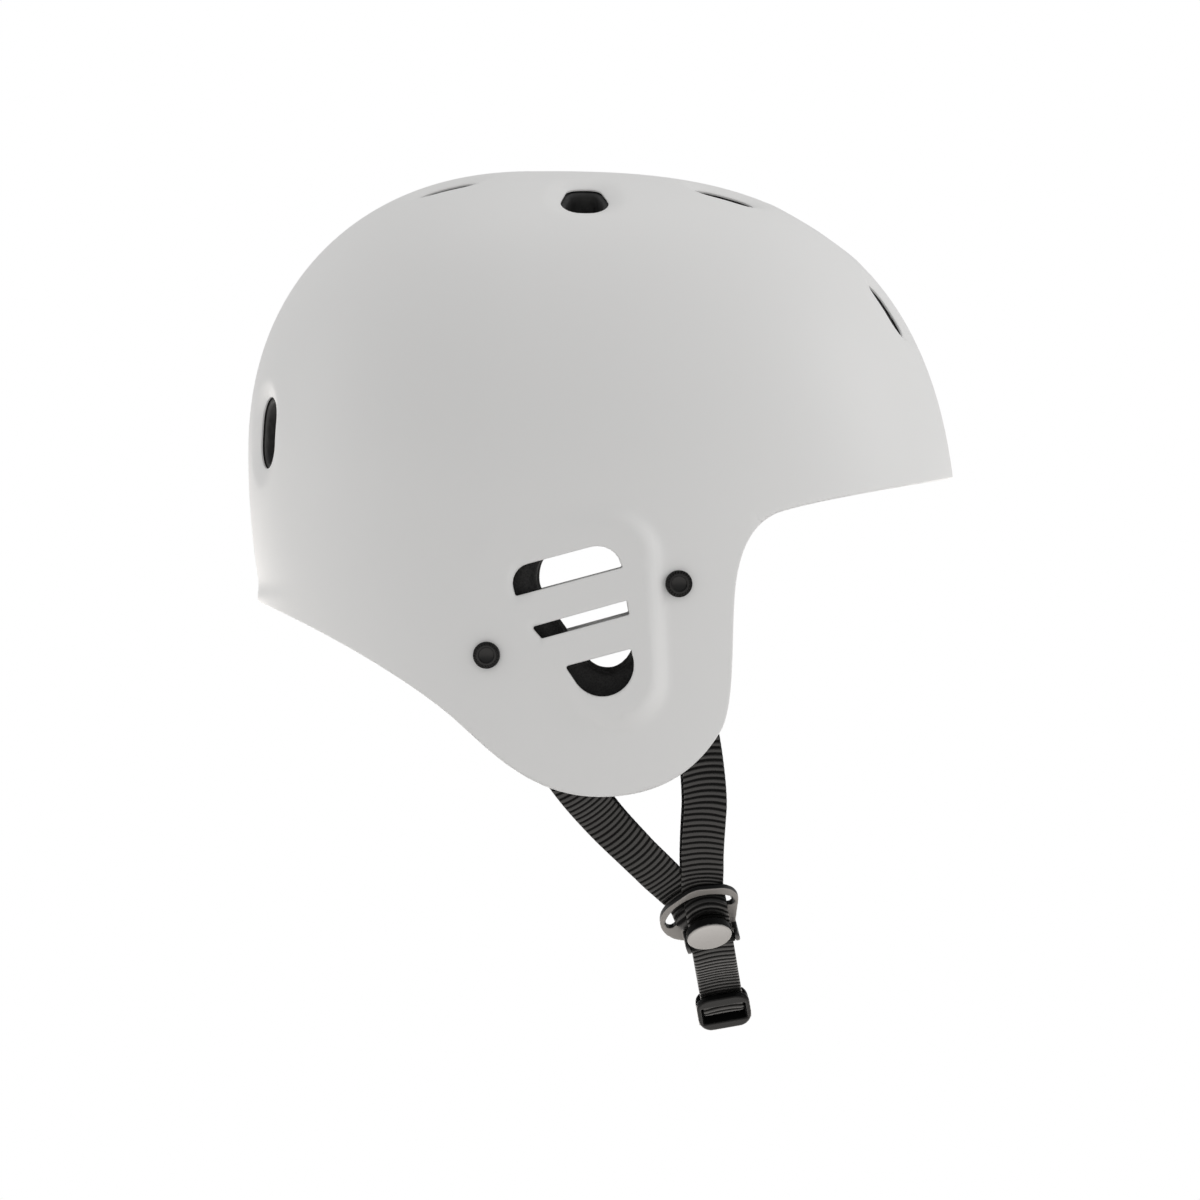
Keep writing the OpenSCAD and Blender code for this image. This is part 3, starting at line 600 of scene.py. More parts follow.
def rimOnMap(line, ends, spacing, lift=0.0):
    side = densify(line, spacing, False)
    side = side[(side[:, 0] > ends[0]) & (side[:, 0] < ends[1])]
    middle = sideOnMap(side)
    limits = [fromMap(middle[0])[0], fromMap(middle[-1])[0]]
    arcs = []
    for limit, goal, x in ((limits[0], -math.pi, ends[0]), (limits[1], 0.0, ends[1])):
        count = max(3, int(abs(goal - limit) * abs(x + shellSize["crownBack"]) / spacing))
        turns = limit + (goal - limit) * np.arange(1, count + 1) / count
        arcs.append(endArc(line, turns, x, lift))
    if lift:
        raised = grow(side, -lift, False)
        gap = np.min([segmentGap(raised, a, b) for a, b in zip(side[:-1], side[1:])], 0)
        middle = sideOnMap(raised[gap > lift * 0.97])
        turn = fromMap(middle)[0]
        middle = middle[(turn > limits[0] - 0.001) & (turn < limits[1] + 0.001)]
    half = np.concatenate([arcs[0][::-1], middle, arcs[1]])
    return np.concatenate([half, (half * mirrored)[-2:0:-1]])


def skinWall(line, sideHoles, skinHoles, wall, relief):
    spacing, cell = wall["spacing"], wall["cell"]
    rimSteps, holeSteps = wall["rimSteps"], wall["holeSteps"]
    outer, inner = wall["outer"], wall["outer"] + wall["thick"]
    loops = [rimOnMap(line, wall["ends"], spacing)]
    dots = [rimOnMap(line, wall["ends"], spacing, d) for d in rimSteps]
    for hole in sideHoles:
        hole = densify(hole, spacing)
        loops.append(sideOnMap(hole))
        dots.extend(sideOnMap(grow(hole, d)) for d in holeSteps)
    for vent, hole in skinHoles:
        hole = densify(hole, spacing)
        loops.append(ventOnMap(vent, hole))
        dots.extend(ventOnMap(vent, grow(hole, d)) for d in holeSteps)
    loops += [loop * mirrored for loop in loops[1:] if np.abs(loop[:, 1]).min() > 1]
    dots += [dot * mirrored for dot in dots[len(rimSteps):]]
    rows = int(2 * mapUnit / cell / 0.866) + 2
    grid = np.array([((i + 0.5 * (j % 2)) * cell, j * cell * 0.866)
                     for j in range(-rows, rows + 1) for i in range(-rows, rows + 1)])
    grid = grid[np.linalg.norm(grid, axis=1) < 2 * mapUnit - 1]
    gaps = featureGaps(onMap(grid), line, sideHoles, skinHoles)
    keep = (gaps[0] > rimSteps[-1] + 0.8) & (gaps[1] > holeSteps[-1] + 0.8)
    points = np.concatenate(loops + dots + [grid[keep]])
    edges, start = [], 0
    for loop in loops:
        count = len(loop)
        edges += [(start + k, start + (k + 1) % count) for k in range(count)]
        start += count
    found = delaunay_2d_cdt([Vector(q) for q in points], edges, [], 0, 1e-5)
    q = np.array([tuple(v) for v in found[0]])
    faces = np.array(found[2])
    middle = q[faces].mean(1)
    good = insideOf(middle, loops[0])
    for loop in loops[1:]:
        good &= ~insideOf(middle, loop)
    faces = faces[good]
    used = np.unique(faces)
    number = np.full(len(q), -1)
    number[used] = np.arange(len(used))
    q, faces = q[used], number[faces]
    place, normal = onMap(q, wall["pocket"]), mapNormal(q, wall["pocket"])
    gaps = featureGaps(onMap(q), line, sideHoles, skinHoles)
    mesh = bpy.data.meshes.new("wall")
    mesh.from_pydata((place - outer * normal) * mm, [], faces.tolist())
    holder = addObject("wall", mesh)
    bm = toBmesh(mesh)
    bmesh.ops.recalc_face_normals(bm, faces=bm.faces)
    bm.faces.ensure_lookup_table()
    if sum(f.normal.z for f in bm.faces) < 0:
        bmesh.ops.reverse_faces(bm, faces=bm.faces)
    bm.to_mesh(mesh)
    bm.free()
    thick = holder.modifiers.new("thick", "SOLIDIFY")
    thick.thickness = (inner - outer) * mm
    thick.offset = -1
    done = baked(holder)
    sheets = np.concatenate([place - (outer + relief(place, gaps))[:, None] * normal, place - inner * normal])
    done.vertices.foreach_set("co", (sheets * mm).ravel())
    bpy.data.objects.remove(holder)
    bm = toBmesh(done)
    bpy.data.meshes.remove(done)
    print("   wall:", len(q), "points,", len(bm.faces), "faces")
    return bm


# How far each point is from the rim, and from the nearest hole

def featureGaps(p, line, sideHoles, skinHoles):
    side = np.stack([p[..., 0], p[..., 2]], -1)
    region = np.concatenate([line, [[halfLength + 40, 0], [halfLength + 40, 300], [-halfLength - 40, 300],
                                    [-halfLength - 40, line[0, 1]]]])
    rim = np.full(len(p), 99.0)
    low = p[:, 2] < 30
    rim[low] = -polygonGap(side[low], region)
    hole = np.full(len(p), 99.0)
    near = (np.abs(p[:, 1]) > 70) & (p[:, 2] < 20)
    for outline in sideHoles:
        hole[near] = np.minimum(hole[near], polygonGap(side[near], outline))
    flipped = p * np.array([1, -1, 1])
    for vent, outline in skinHoles:
        for mirror in (p, flipped):
            near = np.linalg.norm(mirror - vent["middle"], axis=1) < 30
            if near.any():
                hole[near] = np.minimum(hole[near], polygonGap(inFrame(mirror[near], vent), outline))
    return rim, hole


def roundOff(gap, radius):
    return radius - np.sqrt(np.maximum(0, radius ** 2 - np.clip(radius - gap, 0, radius) ** 2))


slots = [leaned(line) for line in slotShapes]
ventDip = {"depth": 2.5, "width": 7.5, "power": 1.6}
slotDip = {"depth": 1.3, "width": 2.8, "power": 1.3}


def shellRelief(p, gaps):
    rim, hole = gaps
    depth = np.maximum(roundOff(rim, shellSize["edgeRound"]), roundOff(hole, shellSize["edgeRound"]))
    high = p[:, 2] > -8     # the vents, all of which lie above the slots
    fall = np.clip(1 - hole / ventDip["width"], 0, 1) ** ventDip["power"] * high
    along = (p[:, [0, 2]] - slotMiddle) @ slotWay
    rear = ease((-13 - along) / 3) * (np.abs(p[:, 1]) > 70) * ~high
    sink = np.clip(1 - hole / slotDip["width"], 0, 1) ** slotDip["power"] * rear
    return np.minimum(depth + ventDip["depth"] * fall + slotDip["depth"] * sink, shellSize["wall"] - 0.6)


shellWhite = Finish("whiteShell")
grain = shellWhite.noise(900.0, 2.0)
shellWhite.shader(Base_Color=(0.84, 0.835, 0.825, 1), Roughness=0.42, Specular_IOR_Level=0.3,
                  Normal=shellWhite.bump(grain, 0.02, 0.0002))

shellWall = {
    "outer": 0.0, "thick": shellSize["wall"], "pocket": True,
    "ends": (-80, 58),      # between these the rim is found from the side, and beyond them by azimuth
    "cell": 2.6, "spacing": 1.25,
    "rimSteps": [0.12, 0.3, 0.5, 0.7, 1.2, 2.0, 3.0],
    "holeSteps": [0.12, 0.3, 0.5, 0.7, 1.1, 1.8, 2.8, 4.0, 5.4, 6.8, 8.2],
}
started = time.time()
shellMesh = skinWall(rimLine, slots, vents + [middleVent], shellWall, shellRelief)
addPiece("shell", shellMesh, "helmet", shellWhite.material, ["outer_shell"], 45)
print("stage: shell,", round(time.time() - started, 1), "s")

# Foam liner: stops above the ears and runs down behind them

linerSize = {
    "wellBack": -66, "wellTop": -13, "rimGap": 6, "ventGrow": -2, "edgeRound": 1.6, "holeRound": 1.2,
    "bevel": 1.4,
}
linerWall = {
    "outer": 3.8, "thick": 20, "pocket": False, "ends": (-82, 62), "cell": 4.2, "spacing": 2.2,
    "rimSteps": [0.4, 1.0, 1.7, 3.0], "holeSteps": [0.3, 0.8, 1.4, 2.6],
}
raisedRim = grow(rimLine, -linerSize["rimGap"], False)
behind = raisedRim[raisedRim[:, 0] < linerSize["wellBack"]]
ahead = raisedRim[(raisedRim[:, 0] > 60) & (raisedRim[:, 1] > linerSize["wellTop"])]
linerLine = np.concatenate([behind, rounded([
    (linerSize["wellBack"], behind[-1][1] - 1, 0), (linerSize["wellBack"], linerSize["wellTop"], 9),
    (52, linerSize["wellTop"], 8), (ahead[0][0] - 0.5, ahead[0][1] - 0.1, 0)], 8), ahead])


def linerRelief(p, gaps):
    return np.maximum(roundOff(gaps[0], linerSize["edgeRound"]), roundOff(gaps[1], linerSize["holeRound"]))


foam = Finish("blackFoam")
beads = foam.voronoi(330.0)
pits = foam.noise(700.0, 3.0)
foam.shader(Base_Color=foam.blend(beads.ease(0.1, 0.9), shade(0.006), shade(0.016)), Roughness=0.7,
            Normal=foam.bump(beads * 0.7 + pits * 0.3, 0.45, 0.0006))
linerHoles = [(vent, grow(line, linerSize["ventGrow"])) for vent, line in vents + [middleVent]]
linerMesh = skinWall(linerLine, [], linerHoles, linerWall, linerRelief)
bevelEdges(linerMesh, linerSize["bevel"] * mm, 2, 50)
addPiece("liner", linerMesh, "helmet", foam.material, ["foam_liner"], 50)
print("stage: liner,", round(time.time() - started, 1), "s")

# Chin webbing, along the same path as the construction: rings of place, face normal and bow

chin = {
    "drop": 202, "roll": math.radians(10), "barOut": 23.2, "forward": 48.0, "level": -207.2, "barWidth": 3.2,
    "plateAt": 0.5, "plateLean": 3.0, "plateThick": 2.4,
    "leftSag": 3.8, "sagEnd": 0.84, "sag": 0.0,     # how much lower the webbing hangs, set for each side
}
webbing = {
    "width": 16, "thick": 1.5, "inside": 4.25, "gap": 0.3,
    "ribPitch": 2.3, "ribHeight": 0.42, "ribBow": 1.1, "yarn": 0.7,
    "ringStep": 0.33, "across": 10,
}
ply = webbing["thick"] + webbing["gap"]
wrapRadius = chin["barWidth"] / 2 + 0.2 + webbing["thick"] / 2
layerOut = chin["plateThick"] / 2 + 0.3 + ply / 2 + webbing["thick"] / 2
zero = np.zeros(3)


def onSide(x, z, depth=webbing["inside"]):
    q = sideOnMap([[x, z]])
    n = mapNormal(q)[0]
    return onMap(q)[0] - depth * n, n


hangTop = np.array([onSide(40, earLow + 13)[0][1] + 0.6, earLow + 11])
hangCurve = np.array([hangTop, hangTop + [4.5, -45], [-chin["barOut"] - 29.7, -chin["drop"] + 18.5],
                      [-chin["barOut"], -chin["drop"]]])


def hang(t):
    a, b, c, d = hangCurve
    low = chin["sag"] * math.sqrt(max(0, math.sin(math.pi * min(1, t / chin["sagEnd"]))))
    return a * (1 - t) ** 3 + 3 * b * t * (1 - t) ** 2 + 3 * c * t * t * (1 - t) + d * t ** 3 - [0, low]


def hangTilt(t):
    a, b, c, d = hangCurve
    way = (b - a) * (1 - t) ** 2 + 2 * (c - b) * t * (1 - t) + (d - c) * t * t
    return math.atan2(way[0], -way[1])


def hangForward(z):
    return chin["forward"] - (z - chin["level"]) * math.tan(chin["roll"])


def hangAt(z):
    low, high = 0.0, 1.0
    for _ in range(30):
        middle = (low + high) / 2
        low, high = (middle, high) if hang(middle)[1] > z else (low, middle)
    return low


acrossWay = np.array([math.cos(chin["roll"]), 0, math.sin(chin["roll"])])


def upWay(tilt):
    s, c = math.sin(chin["roll"]), math.cos(chin["roll"])
    return np.array([-s * math.cos(tilt), -math.sin(tilt), c * math.cos(tilt)])


def outWay(tilt):
    s, c = math.sin(chin["roll"]), math.cos(chin["roll"])
    return np.array([s * math.sin(tilt), -math.cos(tilt), -c * math.sin(tilt)])


def hangPlace(t):
    y, z = hang(t)
    return np.array([hangForward(z), y, z])


plateTilt = hangTilt(chin["plateAt"]) + math.radians(chin["plateLean"])
plateAxes = np.stack([acrossWay, upWay(plateTilt), outWay(plateTilt)])


def onPlate(q):
    return hangPlace(chin["plateAt"]) + np.array(q, float) @ plateAxes


arc = {"middle": np.array([0, -6.2]), "radius": 15.1, "bend": 2.2, "turn": math.radians(70)}


# One layer of the webbing where it dips through the divider's slot

def bendLayer(side):
    bend, turn = arc["bend"], arc["turn"]
    far = (layerOut - bend * (1 - math.cos(turn))) / math.tan(turn) + bend * math.sin(turn)
    half = [[far + 3, -layerOut]] + [[far - bend * math.sin(a), bend * (1 - math.cos(a)) - layerOut]
                                     for a in (0, turn / 2, turn)]
    line = np.array(half + [[-x, -y] for x, y in reversed(half)])
    way = unit(np.array([line[min(7, k + 1)] - line[max(0, k - 1)] for k in range(8)]))
    return line + side * ply / 2 * np.stack([way[:, 1], -way[:, 0]], -1)


def slotRun(turn, side):
    turn = math.radians(turn)
    way = np.array([-math.sin(turn), math.cos(turn)])
    rings = []
    for x, z in bendLayer(side)[:7]:
        r = arc["radius"] + x
        flat = math.sqrt(r * r - webbing["width"] ** 2 / 4)
        rings.append((onPlate([*(arc["middle"] + way * flat), z]), plateAxes[2],
                      np.array([*way, 0]) @ plateAxes * (r - flat)))
    return rings


def flatRun(points, side):
    out = layerOut + side * ply / 2
    return [(onPlate([x, y, out]), plateAxes[2], bow * plateAxes[1]) for x, y, bow in points]


def hangRun(places, offset, side, forwardTop=None):
    rings = []
    for t in places:
        p, n = hangPlace(t), outWay(hangTilt(t))
        if forwardTop is not None:
            p[0] = mix(forwardTop, p[0], ease((t - 0.08) / 0.5))
        rings.append((p + n * (offset * (1 - ease((t - 0.66) / 0.18)) + side * ply / 2), n, zero))
    return rings


def barTurn():
    tilt = hangTilt(1)
    u, n, c = upWay(tilt), outWay(tilt), hangPlace(1)
    rings = [(c + u * 6.4 + n * ply / 2, n, zero), (c + u * 3.4 + n * wrapRadius * 0.85, n, zero)]
    for a in np.radians(np.arange(0, 181, 36)):
        d = n * math.cos(a) - u * math.sin(a)
        rings.append((c + d * wrapRadius, d, zero))
    return rings + [(c + u * 3.4 - n * wrapRadius * 0.85, -n, zero), (c + u * 6.4 - n * ply / 2, -n, zero)]


anchorPlaces = [(29.6, -40.4), (-42.7, -67.3)]
lowPlaces = [0.7, 0.74, 0.78, 0.82, 0.86]
frontRun = [(28, -30), anchorPlaces[0], (33, -66), (37, -92), (39.5, earLow + 14)]
rearRun = [(-49, -57), anchorPlaces[1], (-34, -81), (-23, -98), (-10, earLow + 4)]
rearFall = [(2, -131, 0.5), (14, -143.2, 0.8), (22.5, -151.6, 0.95)]


def strapRings():
    drop = []
    for x, z, share in rearFall:
        t = hangAt(z - share * chin["sag"])
        n = outWay(hangTilt(t))
        drop.append((np.array([x, *hang(t)]) - n * 2.2 * ease(t / 0.2), n, zero))
    rear = ([(*onSide(*q), zero) for q in rearRun] + drop + slotRun(30, -1)
            + flatRun([(-2.2, -0.6, 1.2), (-0.1, -4.2, 0.4), (0, -9.5, 0), (0, -14.5, 0), (0, -20, 0)], -1)
            + hangRun(lowPlaces, layerOut, -1))
    return ([(*onSide(*q), zero) for q in frontRun] + hangRun([0.1, 0.16, 0.22, 0.28, 0.33], -0.3, 0, 40)
            + slotRun(0, 1) + flatRun([(0, 0.5, 1.5), (0, -5, 0.3), (0, -13, 0), (0, -20, 0)], 1)
            + hangRun(lowPlaces, layerOut, 1) + barTurn() + [(p, -n, bow) for p, n, bow in reversed(rear)])


# Rings as a centripetal spline, set out again at an even spacing

def smoothRings(rings):
    values = np.array([np.concatenate(ring) for ring in rings])
    gaps = np.maximum(np.linalg.norm(np.diff(values[:, :3], axis=0), axis=1), 0.2)
    knots = np.concatenate([[0], np.cumsum(np.sqrt(gaps))])
    padded = np.concatenate([2 * values[:1] - values[1:2], values, 2 * values[-1:] - values[-2:-1]])
    times = np.concatenate([[2 * knots[0] - knots[1]], knots, [2 * knots[-1] - knots[-2]]])
    out = []
    for k in range(1, len(padded) - 2):
        t0, t1, t2, t3 = times[k - 1:k + 3]
        p0, p1, p2, p3 = padded[k - 1:k + 3]
        for t in np.linspace(t1, t2, 24, endpoint=False):
            a1 = p0 * (t1 - t) / (t1 - t0) + p1 * (t - t0) / (t1 - t0)
            a2 = p1 * (t2 - t) / (t2 - t1) + p2 * (t - t1) / (t2 - t1)
            a3 = p2 * (t3 - t) / (t3 - t2) + p3 * (t - t2) / (t3 - t2)
            b1 = a1 * (t2 - t) / (t2 - t0) + a2 * (t - t0) / (t2 - t0)
            b2 = a2 * (t3 - t) / (t3 - t1) + a3 * (t - t1) / (t3 - t1)
            out.append(b1 * (t2 - t) / (t2 - t1) + b2 * (t - t1) / (t2 - t1))
    out = np.array(out + [values[-1]])
    length = np.concatenate([[0], np.cumsum(np.linalg.norm(np.diff(out[:, :3], axis=0), axis=1))])
    steps = np.linspace(0, length[-1], int(length[-1] / webbing["ringStep"]))
    return steps, np.stack([np.interp(steps, length, out[:, c]) for c in range(9)], -1)


# The rings joined into a closed ribbon with real ribs

def makeRibbon(rings, mirror):
    half, across = webbing["width"] / 2, webbing["across"]
    steps, values = smoothRings(rings)
    place, normal, bow = values[:, :3], unit(values[:, 3:6]), values[:, 6:]
    way = unit(np.gradient(place, axis=0))
    side = unit(np.cross(normal, way))
    face = np.cross(way, side)
    us = -np.cos(np.linspace(0, math.pi, 2 * across + 1))
    layers = []
    for sign in (-1, 1):
        for u in us if sign < 0 else us[::-1]:
            rib = np.abs(np.sin((steps - webbing["ribBow"] * u * u) * math.pi / webbing["ribPitch"])) ** 0.55
            edge = (1 - abs(u) ** 10) ** 0.5
            depth = sign * edge * (webbing["thick"] / 2 - webbing["ribHeight"] * (1 - rib))
            reach = u * half * (1 + 0.012 * (rib - 0.5) * (abs(u) > 0.9))
            layers.append(place + bow * (1 - u * u) + side * reach[:, None] + face * depth[:, None])
    rows = np.stack(layers, 1)
    keep = [k for k in range(rows.shape[1]) if k not in (2 * across + 1, 4 * across + 1)]
    rows = rows[:, keep] * np.array([1, -1 if mirror else 1, 1]) * mm
    bm = bmesh.new()
    uvLayer = bm.loops.layers.uv.new("UVMap")
    grid = [[bm.verts.new(p) for p in row] for row in rows]
    count = len(keep)
    spots = np.concatenate([us, us[::-1][1:-1]]) * half
    for i in range(len(grid) - 1):
        for k in range(count):
            n = (k + 1) % count
            f = bm.faces.new((grid[i][k], grid[i][n], grid[i + 1][n], grid[i + 1][k]))
            for loop, (u, v) in zip(f.loops, ((spots[k], steps[i]), (spots[n], steps[i]),
                                              (spots[n], steps[i + 1]), (spots[k], steps[i + 1]))):
                loop[uvLayer].uv = (u / 10, v / 10)
    bm.faces.new(grid[0][::-1])
    bm.faces.new(grid[-1])
    bmesh.ops.recalc_face_normals(bm, faces=bm.faces)
    return bm


def webFinish():
    cloth = Finish("blackWebbing")
    u, v = cloth.part(cloth.uv(), "X") * 10, cloth.part(cloth.uv(), "Y") * 10
    bow = u * u * (webbing["ribBow"] * 4 / webbing["width"] ** 2)
    rib = ((v - bow) * (math.pi / webbing["ribPitch"])).sine().absolute()
    yarn = (u * (2 * math.pi / webbing["yarn"]) + v * 2.4).sine()
    fuzz = cloth.noise(2600.0, 2.0)
    thread = cloth.blend(fuzz.ease(0.2, 0.8), shade(0.006, 0.04), shade(0.016, 0.04))
    # Painted shade: the valleys between the ribs are near black in the base colour, standing in for the shade
    # that falls there; the rib tops take the thread's colour
    cloth.shader(Base_Color=cloth.blend(rib.ease(0.15, 0.75), shade(0.002), thread), Roughness=0.7,
                 Coat_Weight=rib.ease(0.45, 0.9) * 0.5, Coat_Roughness=0.3, Specular_IOR_Level=0.06,
                 Normal=cloth.bump(yarn * 0.5 + fuzz * 0.5, 0.3, 0.0002))
    return cloth.material


webBlack = webFinish()
sides = [("right", 0.0), ("left", chin["leftSag"])]
for side, sag in sides:
    chin["sag"] = sag
    left = side == "left"
    strap = addPiece("chinWebbing_" + side, makeRibbon(strapRings(), left), None if left else "helmet",
                     webBlack, ["chin_strap_" + side], 60)
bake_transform(strap)
print("stage: webbing,", round(time.time() - started, 1), "s")

# Hardware: copies of the construction's solids, merged and with rounded edges

def nodeCopy(name):
    bm = toBmesh(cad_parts[name].data)
    bmesh.ops.remove_doubles(bm, verts=bm.verts, dist=0.00002)
    return bm


def softened(name, width, segments):
    bm = nodeCopy(name)
    bmesh.ops.dissolve_limit(bm, angle_limit=math.radians(1.5), verts=bm.verts, edges=bm.edges)
    bevelEdges(bm, width * mm, segments, 30)
    return bm


def voxelled(bm, voxel):
    holder = fromBmesh("core", bm)
    voxels = holder.modifiers.new("voxels", "REMESH")
    voxels.mode = "VOXEL"
    voxels.voxel_size = voxel * mm
    holder.data = baked(holder)
    holder.modifiers.clear()
    return holder


def evened(bm, passes):
    for _ in range(passes):
        bmesh.ops.smooth_vert(bm, verts=bm.verts, factor=0.5,
                              use_axis_x=True, use_axis_y=True, use_axis_z=True)


# A moulded body: fine voxels, smoothed until its edges are round

def moulded(name, voxel, passes):
    holder = voxelled(nodeCopy(name), voxel)
    bm = toBmesh(holder.data)
    bpy.data.objects.remove(holder)
    evened(bm, passes)
    return bm


def plasticFinish(name, level, rough, coat=0.0, coatRough=0.05):
    plastic = Finish(name)
    texture = plastic.noise(1400.0, 2.0)
    plastic.shader(Base_Color=shade(level), Roughness=rough, Coat_Weight=coat, Coat_Roughness=coatRough,
                   Specular_IOR_Level=0.03, Normal=plastic.bump(texture, 0.05, 0.0002))
    return plastic.material


capSize = {"teeth": 25, "toothHeight": 0.45, "toothRing": (3.9, 4.75), "steps": 200}
# The cap's radii and heights: a dished middle, a raised ring, the teeth's ring, the rim and the post
capProfile = [
    (0, 1.4), (2.6, 1.42), (2.8, 1.5), (2.95, 1.85), (3.1, 1.98), (3.7, 1.98), (3.85, 1.85), (3.95, 1.45),
    (4.35, 1.42), (4.7, 1.4), (4.8, 1.7), (4.9, 1.75), (5.05, 1.6), (5.1, 1.35), (5.1, 0.2),
    (2.0, 0.2), (2.0, -7.4), (0, -7.4),
]
capBlack = plasticFinish("capBlack", 0.009, 0.42, 0.3, 0.3)


def makeAnchor(x, z, mirror):
    bm = bmesh.new()
    line = [bm.verts.new((r * mm, 0, h * mm)) for r, h in capProfile]
    edges = [bm.edges.new(pair) for pair in zip(line[:-1], line[1:])]
    bmesh.ops.spin(bm, geom=line + edges, cent=(0, 0, 0), axis=(0, 0, 1), angle=2 * math.pi,
                   steps=capSize["steps"], use_merge=True)
    bmesh.ops.remove_doubles(bm, verts=bm.verts, dist=0.00001)
    for v in bm.verts:
        r = math.hypot(v.co.x, v.co.y) / mm
        if capSize["toothRing"][0] < r < capSize["toothRing"][1] and v.co.z > 0:
            wave = math.sin(capSize["teeth"] * math.atan2(v.co.y, v.co.x))
            v.co.z += capSize["toothHeight"] * mm * ease(0.5 + wave)
    p, n = onSide(x, z, 0)
    y = unit(upward - n[2] * n)
    axes = Matrix(np.column_stack([np.cross(y, n), y, n]).tolist()).to_4x4()
    axes.translation = Vector(p * mm)
    bmesh.ops.transform(bm, matrix=axes, verts=bm.verts)
    if mirror:
        bmesh.ops.scale(bm, vec=(1, -1, 1), verts=bm.verts)
    bmesh.ops.recalc_face_normals(bm, faces=bm.faces)
    return bm


for side, _ in sides:
    for end, (x, z) in zip(("front", "rear"), anchorPlaces):
        name = end + "_" + side
        addPiece("strapAnchor_" + name, makeAnchor(x, z, side == "left"), "helmet", capBlack,
                 ["anchor_" + name], 35)
print("stage: anchors")


# The divider is black, with a grey face: a band of height over the plate's own plane

def plateFinish(sag):
    chin["sag"] = sag
    paint = Finish("dividerFace")
    here = paint.place()
    way = plateAxes[2]
    middle = onPlate([0, 0, 0]) * mm
    height = (paint.part(here, "X") * way[0] + paint.part(here, "Y").absolute() * -way[1]
              + paint.part(here, "Z") * way[2] - float(middle @ way))
    face = height.ease(0.0009, 0.00105) - height.ease(0.0014, 0.0016)
    texture = paint.noise(1500.0, 2.0)
    paint.shader(Base_Color=paint.blend(face, shade(0.006), shade(0.24, 0.07)), Roughness=0.45,
                 Normal=paint.bump(texture, 0.06, 0.0002))
    return paint.material


def discFinish():
    satin = Finish("leverDisc")
    texture = satin.noise(2200.0, 2.0)
    satin.shader(Base_Color=shade(0.2, 0.03), Roughness=0.34, Metallic=0.4,
                 Normal=satin.bump(texture, 0.05, 0.0001))
    return satin.material


discPaint = discFinish()
leverBlack = plasticFinish("leverBlack", 0.006, 0.34)
buckleBlack = plasticFinish("buckleBlack", 0.005, 0.2, 0.04)
armBlack = plasticFinish("armBlack", 0.006, 0.3)
for side, sag in sides:
    addPiece("strapDivider_" + side, moulded("divider_plate_" + side, 0.28, 3), "divider_" + side,
             plateFinish(sag), ["divider_plate_" + side], 180)
    addPiece("lockLever_" + side, moulded("lock_lever_" + side, 0.28, 3), "lever_" + side,
             leverBlack, ["lock_lever_" + side], 180)
    addPiece("leverDisc_" + side, softened("lever_disc_" + side, 0.12, 2), "lever_" + side,
             discPaint, ["lever_disc_" + side], 35)
addPiece("buckleHousing", moulded("buckle_housing", 0.3, 8), "helmet", buckleBlack,
         ["buckle_housing"], 180)
addPiece("bucklePlug", moulded("buckle_plug", 0.3, 8), "plug", buckleBlack, ["buckle_plug"], 180)
for end in ("front", "rear"):
    addPiece("latchArm_" + end, softened("latch_arm_" + end, 0.3, 3), "arm_" + end, armBlack,
             ["latch_arm_" + end], 35)
print("stage: dividers, levers and buckle")


def dress(name, material):
    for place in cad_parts[name].material_slots:
        place.material = material


steel = Finish("nutSteel")
steel.shader(Base_Color=shade(0.35), Roughness=0.38, Metallic=1.0)
hooks = Finish("hookTape")
curl = hooks.noise(2400.0, 4.0, 0.7)
hooks.shader(Base_Color=hooks.blend(curl.ease(0.3, 0.7), shade(0.01), shade(0.05)), Roughness=0.9,
             Normal=hooks.bump(curl, 0.6, 0.0004))
dress("anchor_nuts", steel.material)
dress("pad_tabs", hooks.material)
dress("ear_pad_tabs", hooks.material)
print("stage: nuts and tabs")

# Padding: foam cushions in a knit cover, blown up a little, then sewn

padSize = {
    "back": 25.7, "thick": 7, "earBack": 7.75, "earThick": 12,
    "inset": 0.7, "voxel": 1.9, "evenings": 5,      # the core: drawn in, remeshed, smoothed
    "pressure": 4.0, "most": 1.5, "frames": 20,     # how hard and how far it swells
    "sink": 0.8, "stitch": 1.3,                     # depth and width of a seam
}


def knitFinish():
    knit = Finish("padKnit")
    fine = knit.voronoi(1300.0)
    soft = knit.noise(140.0, 3.0)
    tone = knit.blend((fine * 0.6 + soft * 0.4).ease(0.25, 0.75), shade(0.007), shade(0.022))
    knit.shader(Base_Color=tone, Roughness=0.85, Normal=knit.bump(fine * 0.7 + soft * 0.3, 0.5, 0.0005))
    return knit.material


def coordinates(mesh):
    co = np.empty(len(mesh.vertices) * 3)
    mesh.vertices.foreach_get("co", co)
    return co.reshape(-1, 3)


# The pad's solid, drawn in, remeshed, swollen by a cloth simulation and smoothed

def swollen(node):
    bm = nodeCopy(node)
    bm.normal_update()
    for v in bm.verts:
        v.co -= v.normal * padSize["inset"] * mm
    holder = voxelled(bm, padSize["voxel"])
    bm = toBmesh(holder.data)
    evened(bm, padSize["evenings"])
    bm.to_mesh(holder.data)
    bm.free()
    rest = coordinates(holder.data)
    cloth = holder.modifiers.new("cloth", "CLOTH")
    cloth.settings.use_pressure = True
    cloth.settings.uniform_pressure_force = padSize["pressure"]
    cloth.settings.effector_weights.gravity = 0
    for number in range(padSize["frames"]):
        scene.frame_set(number + 1)
    move = coordinates(baked(holder)) - rest
    length = np.linalg.norm(move, axis=1, keepdims=True)
    rest = rest + move * np.minimum(1, padSize["most"] * mm / np.maximum(length, 1e-9))
    holder.modifiers.clear()
    scene.frame_set(1)
    holder.data.vertices.foreach_set("co", rest.ravel())
    finer = holder.modifiers.new("finer", "SUBSURF")
    finer.levels = finer.render_levels = 1
    bm = toBmesh(baked(holder))
    bpy.data.objects.remove(holder)
    return bm


# Pulled in along its seams

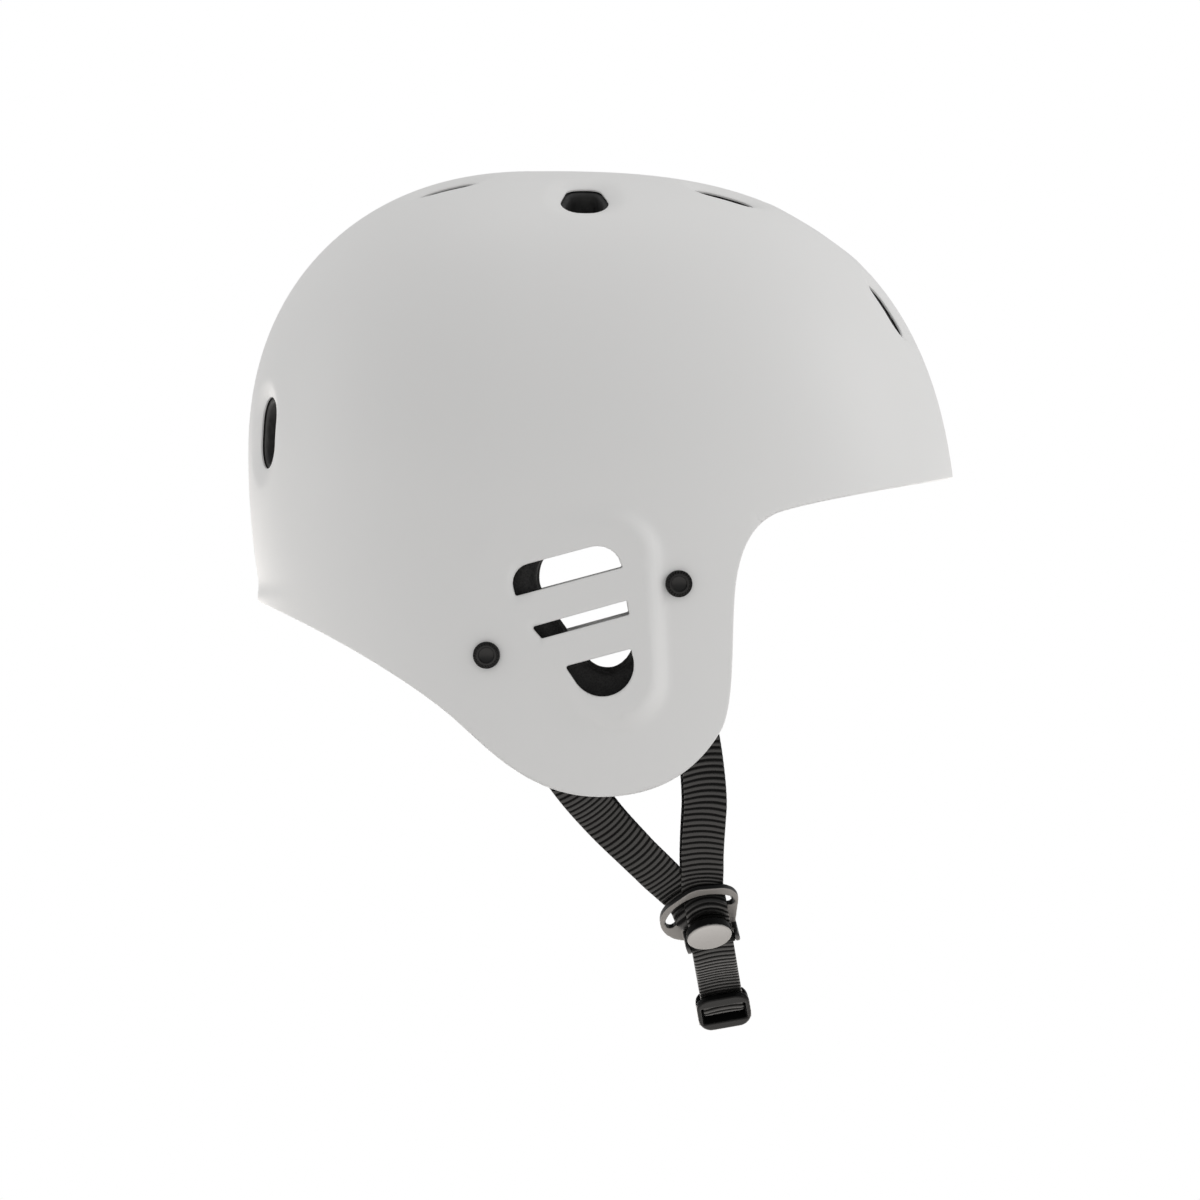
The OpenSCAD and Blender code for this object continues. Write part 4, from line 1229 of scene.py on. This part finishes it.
def sewn(bm, seams):
    dots = np.concatenate([densify(np.array(seam), 0.8) for seam in seams])
    tree = KDTree(len(dots))
    for k, dot in enumerate(dots):
        tree.insert(Vector(dot * mm), k)
    tree.balance()
    bm.normal_update()
    gaps = [tree.find(v.co)[2] / (padSize["stitch"] * mm) for v in bm.verts]
    ways = [v.normal.copy() for v in bm.verts]
    for v, gap, way in zip(bm.verts, gaps, ways):
        v.co -= way * padSize["sink"] * mm * math.exp(-gap * gap)
    return bm


def layerPoint(az, v, depth):
    q = toMap(np.array(az), np.array(v))
    return onMap(q) - depth * mapNormal(q)


def pillowSeam(area, inset, height):
    az0, az1, v0, v1 = area
    points = []
    for turn in np.radians(np.arange(0, 360, 3)):
        c, s = math.cos(turn), math.sin(turn)
        a = 0.5 + (0.5 - inset[0]) * math.copysign(abs(c) ** 0.35, c)
        b = 0.5 + (0.5 - inset[1]) * math.copysign(abs(s) ** 0.35, s)
        points.append(layerPoint(math.radians(mix(az0, az1, a)), mix(v0, v1, b),
                                 padSize["back"] + padSize["thick"] * height))
    return points


def ringPoint(rings, turn):
    way = np.array([math.cos(turn), math.sin(turn)])
    x, z, r = max(rings, key=lambda ring: ring[0] * way[0] + ring[1] * way[1] + ring[2])
    return np.array([x, z]) + r * way


earHole = [(-8, -36, 15.5), (5, -36, 12), (3.8, -62.9, 10.5)]
earRim = [(-44, -32, 13), (30, -32, 13), (22, -86, 20), (0, -91, 20), (-40, -60, 12)]


def earSeam(share, height):
    points = []
    for turn in np.radians(np.arange(0, 360, 4)):
        x, z = mix(ringPoint(earHole, turn), ringPoint(earRim, turn), share)
        points.append(onSide(x, z, padSize["earBack"] + height * padSize["earThick"])[0])
    return points


def crownSeam(share, height):
    return [layerPoint(turn, 1 - 0.3 * share, padSize["back"] + padSize["thick"] * height)
            for turn in np.radians(np.arange(0, 360, 4))]


padAreas = {"brow_pad": (-46, 46, 0.21, 0.35), "nape_pad": (148, 212, -0.2, 0.16),
            "side_pad_right": (-116, -66, 0.12, 0.42)}
padSeams = {"crown_pad": [crownSeam(0.8, 0.95), crownSeam(0.5, 1.0), crownSeam(1.0, 0.2)],
            "ear_pad_right": [earSeam(0.2, 0.96), earSeam(0.8, 0.96), earSeam(1.01, 0.3)]}
for node, area in padAreas.items():
    padSeams[node] = [pillowSeam(area, (0.07, 0.16), 0.95), pillowSeam(area, (0.0, 0.0), 0.2)]
knit = knitFinish()
for node, seams in padSeams.items():
    began = time.time()
    pad = sewn(swollen(node), seams)
    if node.endswith("_right"):
        other = pad.copy()
        bmesh.ops.scale(other, vec=(1, -1, 1), verts=other.verts)
        bmesh.ops.recalc_face_normals(other, faces=other.faces)
        left = node.replace("_right", "_left")
        addPiece(left + "_cover", other, "helmet", knit, [left], 180)
    addPiece(node + "_cover", pad, "helmet", knit, [node], 180)
    print("stage:", node, round(time.time() - began, 1), "s")
